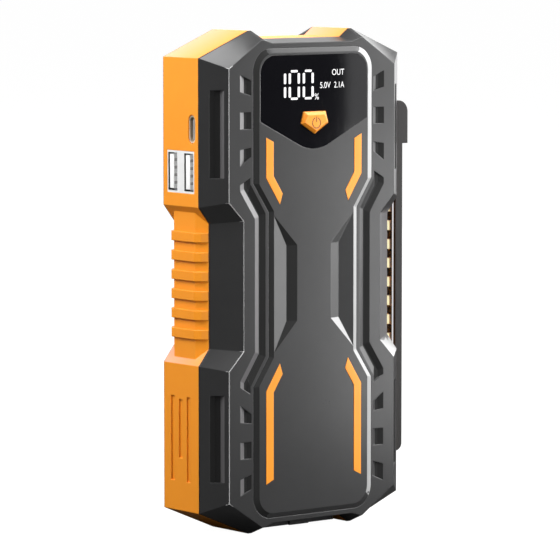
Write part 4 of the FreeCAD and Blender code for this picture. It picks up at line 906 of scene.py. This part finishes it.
# Softboxes round the pack: the way to each, how far it is, its width, height and power
SOFTBOXES = {
    "right_box": ((0.95, -0.30, 0.05), 1.0, 0.5, 0.9, 7.2),
    "close_box": ((0.74, -0.67, 0.09), 0.205, 0.06, 0.2, 0.06),
    "close_low_box": ((0.74, -0.67, -0.10), 0.205, 0.06, 0.12, 0.08),
    "near_high_box": ((0.683, -0.418, 0.60), 0.36, 0.2, 0.36, 1.15),
    "front_strip": ((-0.11, -0.97, 0.10), 1.2, 0.12, 0.8, 9),
    "back_right_box": ((0.79, 0.60, 0.00), 1.2, 0.8, 1.0, 5.6),
    "back_left_box": ((-0.79, 0.61, 0.00), 1.1, 0.6, 0.8, 1.2),
    "top_box": ((0.17, -0.20, 0.97), 1.0, 0.8, 0.6, 11.5),
    "left_box": ((-0.72, 0.21, 0.66), 0.48, 0.35, 0.35, 2.7),
}
# How bright the world is on matt surfaces and in reflections
AMBIENT = 0.12
MIRRORED = 0.4


def paint_world():
    """Even dim light, with a white backdrop for the camera."""
    world = bpy.data.worlds.new("studio")
    bpy.context.scene.world = world
    world.use_nodes = True
    nodes, links = world.node_tree.nodes, world.node_tree.links
    nodes.clear()
    path = nodes.new("ShaderNodeLightPath")
    mirrored = nodes.new("ShaderNodeMapRange")
    links.new(path.outputs["Is Glossy Ray"], mirrored.inputs["Value"])
    mirrored.inputs["To Min"].default_value = AMBIENT
    mirrored.inputs["To Max"].default_value = MIRRORED
    strength = nodes.new("ShaderNodeMapRange")
    links.new(path.outputs["Is Camera Ray"], strength.inputs["Value"])
    links.new(mirrored.outputs["Result"], strength.inputs["To Min"])
    strength.inputs["To Max"].default_value = 1.0
    background = nodes.new("ShaderNodeBackground")
    background.inputs["Color"].default_value = (1, 1, 1, 1)
    links.new(strength.outputs["Result"], background.inputs["Strength"])
    output = nodes.new("ShaderNodeOutputWorld")
    links.new(background.outputs[0], output.inputs["Surface"])


def softbox(name, way, distance, width, height, power):
    """An upright soft light that faces the pack's middle."""
    light = bpy.data.lights.new(name, "AREA")
    light.shape = "RECTANGLE"
    light.size = width
    light.size_y = height
    light.energy = power
    lamp = bpy.data.objects.new(name, light)
    bpy.context.scene.collection.objects.link(lamp)
    way = Vector(way).normalized()
    lamp.location = HOUSING * MM + way * distance
    lamp.rotation_euler = (-way).to_track_quat("-Z", "Y").to_euler()
    lamp.visible_camera = False


def light_studio():
    """The world and all the softboxes."""
    paint_world()
    for name, row in SOFTBOXES.items():
        softbox(name, *row)


def lay_floor():
    """A wide floor that the camera sees white, with the pack's shadow on it."""
    bpy.ops.mesh.primitive_plane_add(size=40, location=(0, 0, 0))
    floor = bpy.context.active_object
    floor.name = "floor"
    finish = Finish("pale_floor")
    cloud = finish.noise(0.4, 2)
    seen = finish.add("LightPath")["Is Camera Ray"]
    pale = finish.mix(cloud, (0.80, 0.80, 0.80, 1), (0.84, 0.84, 0.84, 1))
    matt = finish.add("BsdfDiffuse", None, {
        "Color": finish.mix(seen, (0.05, 0.05, 0.05, 1), pale), "Roughness": 0.6})["BSDF"]
    bright = finish.add("Emission", None, {"Color": (1, 1, 1, 1), "Strength": 1.15})["Emission"]
    both = finish.add("MixShader", None, {0: seen * 0.85, 1: matt, 2: bright})["Shader"]
    finish.links.new(both.socket, finish.output.inputs["Surface"])
    floor.data.materials.append(finish.material)


def set_camera():
    """The photograph's view: from the pack's left and a little above."""
    azimuth = math.radians(CAMERA_AZIMUTH)
    rise = math.radians(CAMERA_RISE)
    back = Vector((-math.sin(azimuth) * math.cos(rise), -math.cos(azimuth) * math.cos(rise),
                   math.sin(rise)))
    right = Vector((math.cos(azimuth), -math.sin(azimuth), 0))
    up = back.cross(right)
    camera = bpy.data.objects.new("camera", bpy.data.cameras.new("camera"))
    bpy.context.scene.collection.objects.link(camera)
    turn = Matrix((right, up, back)).transposed().to_4x4()
    spot = HOUSING * MM + back * CAMERA_DISTANCE + right * CAMERA_RIGHT + up * CAMERA_UP
    camera.matrix_world = Matrix.Translation(spot) @ turn
    camera.data.sensor_width = 36
    camera.data.lens = FOCAL_PIXELS * camera.data.sensor_width / PICTURE_PIXELS
    camera.data.clip_end = 20
    bpy.context.scene.camera = camera


dress_nodes()
make_pieces()
light_studio()
lay_floor()
set_camera()
bpy.context.scene.view_settings.view_transform = "Standard"
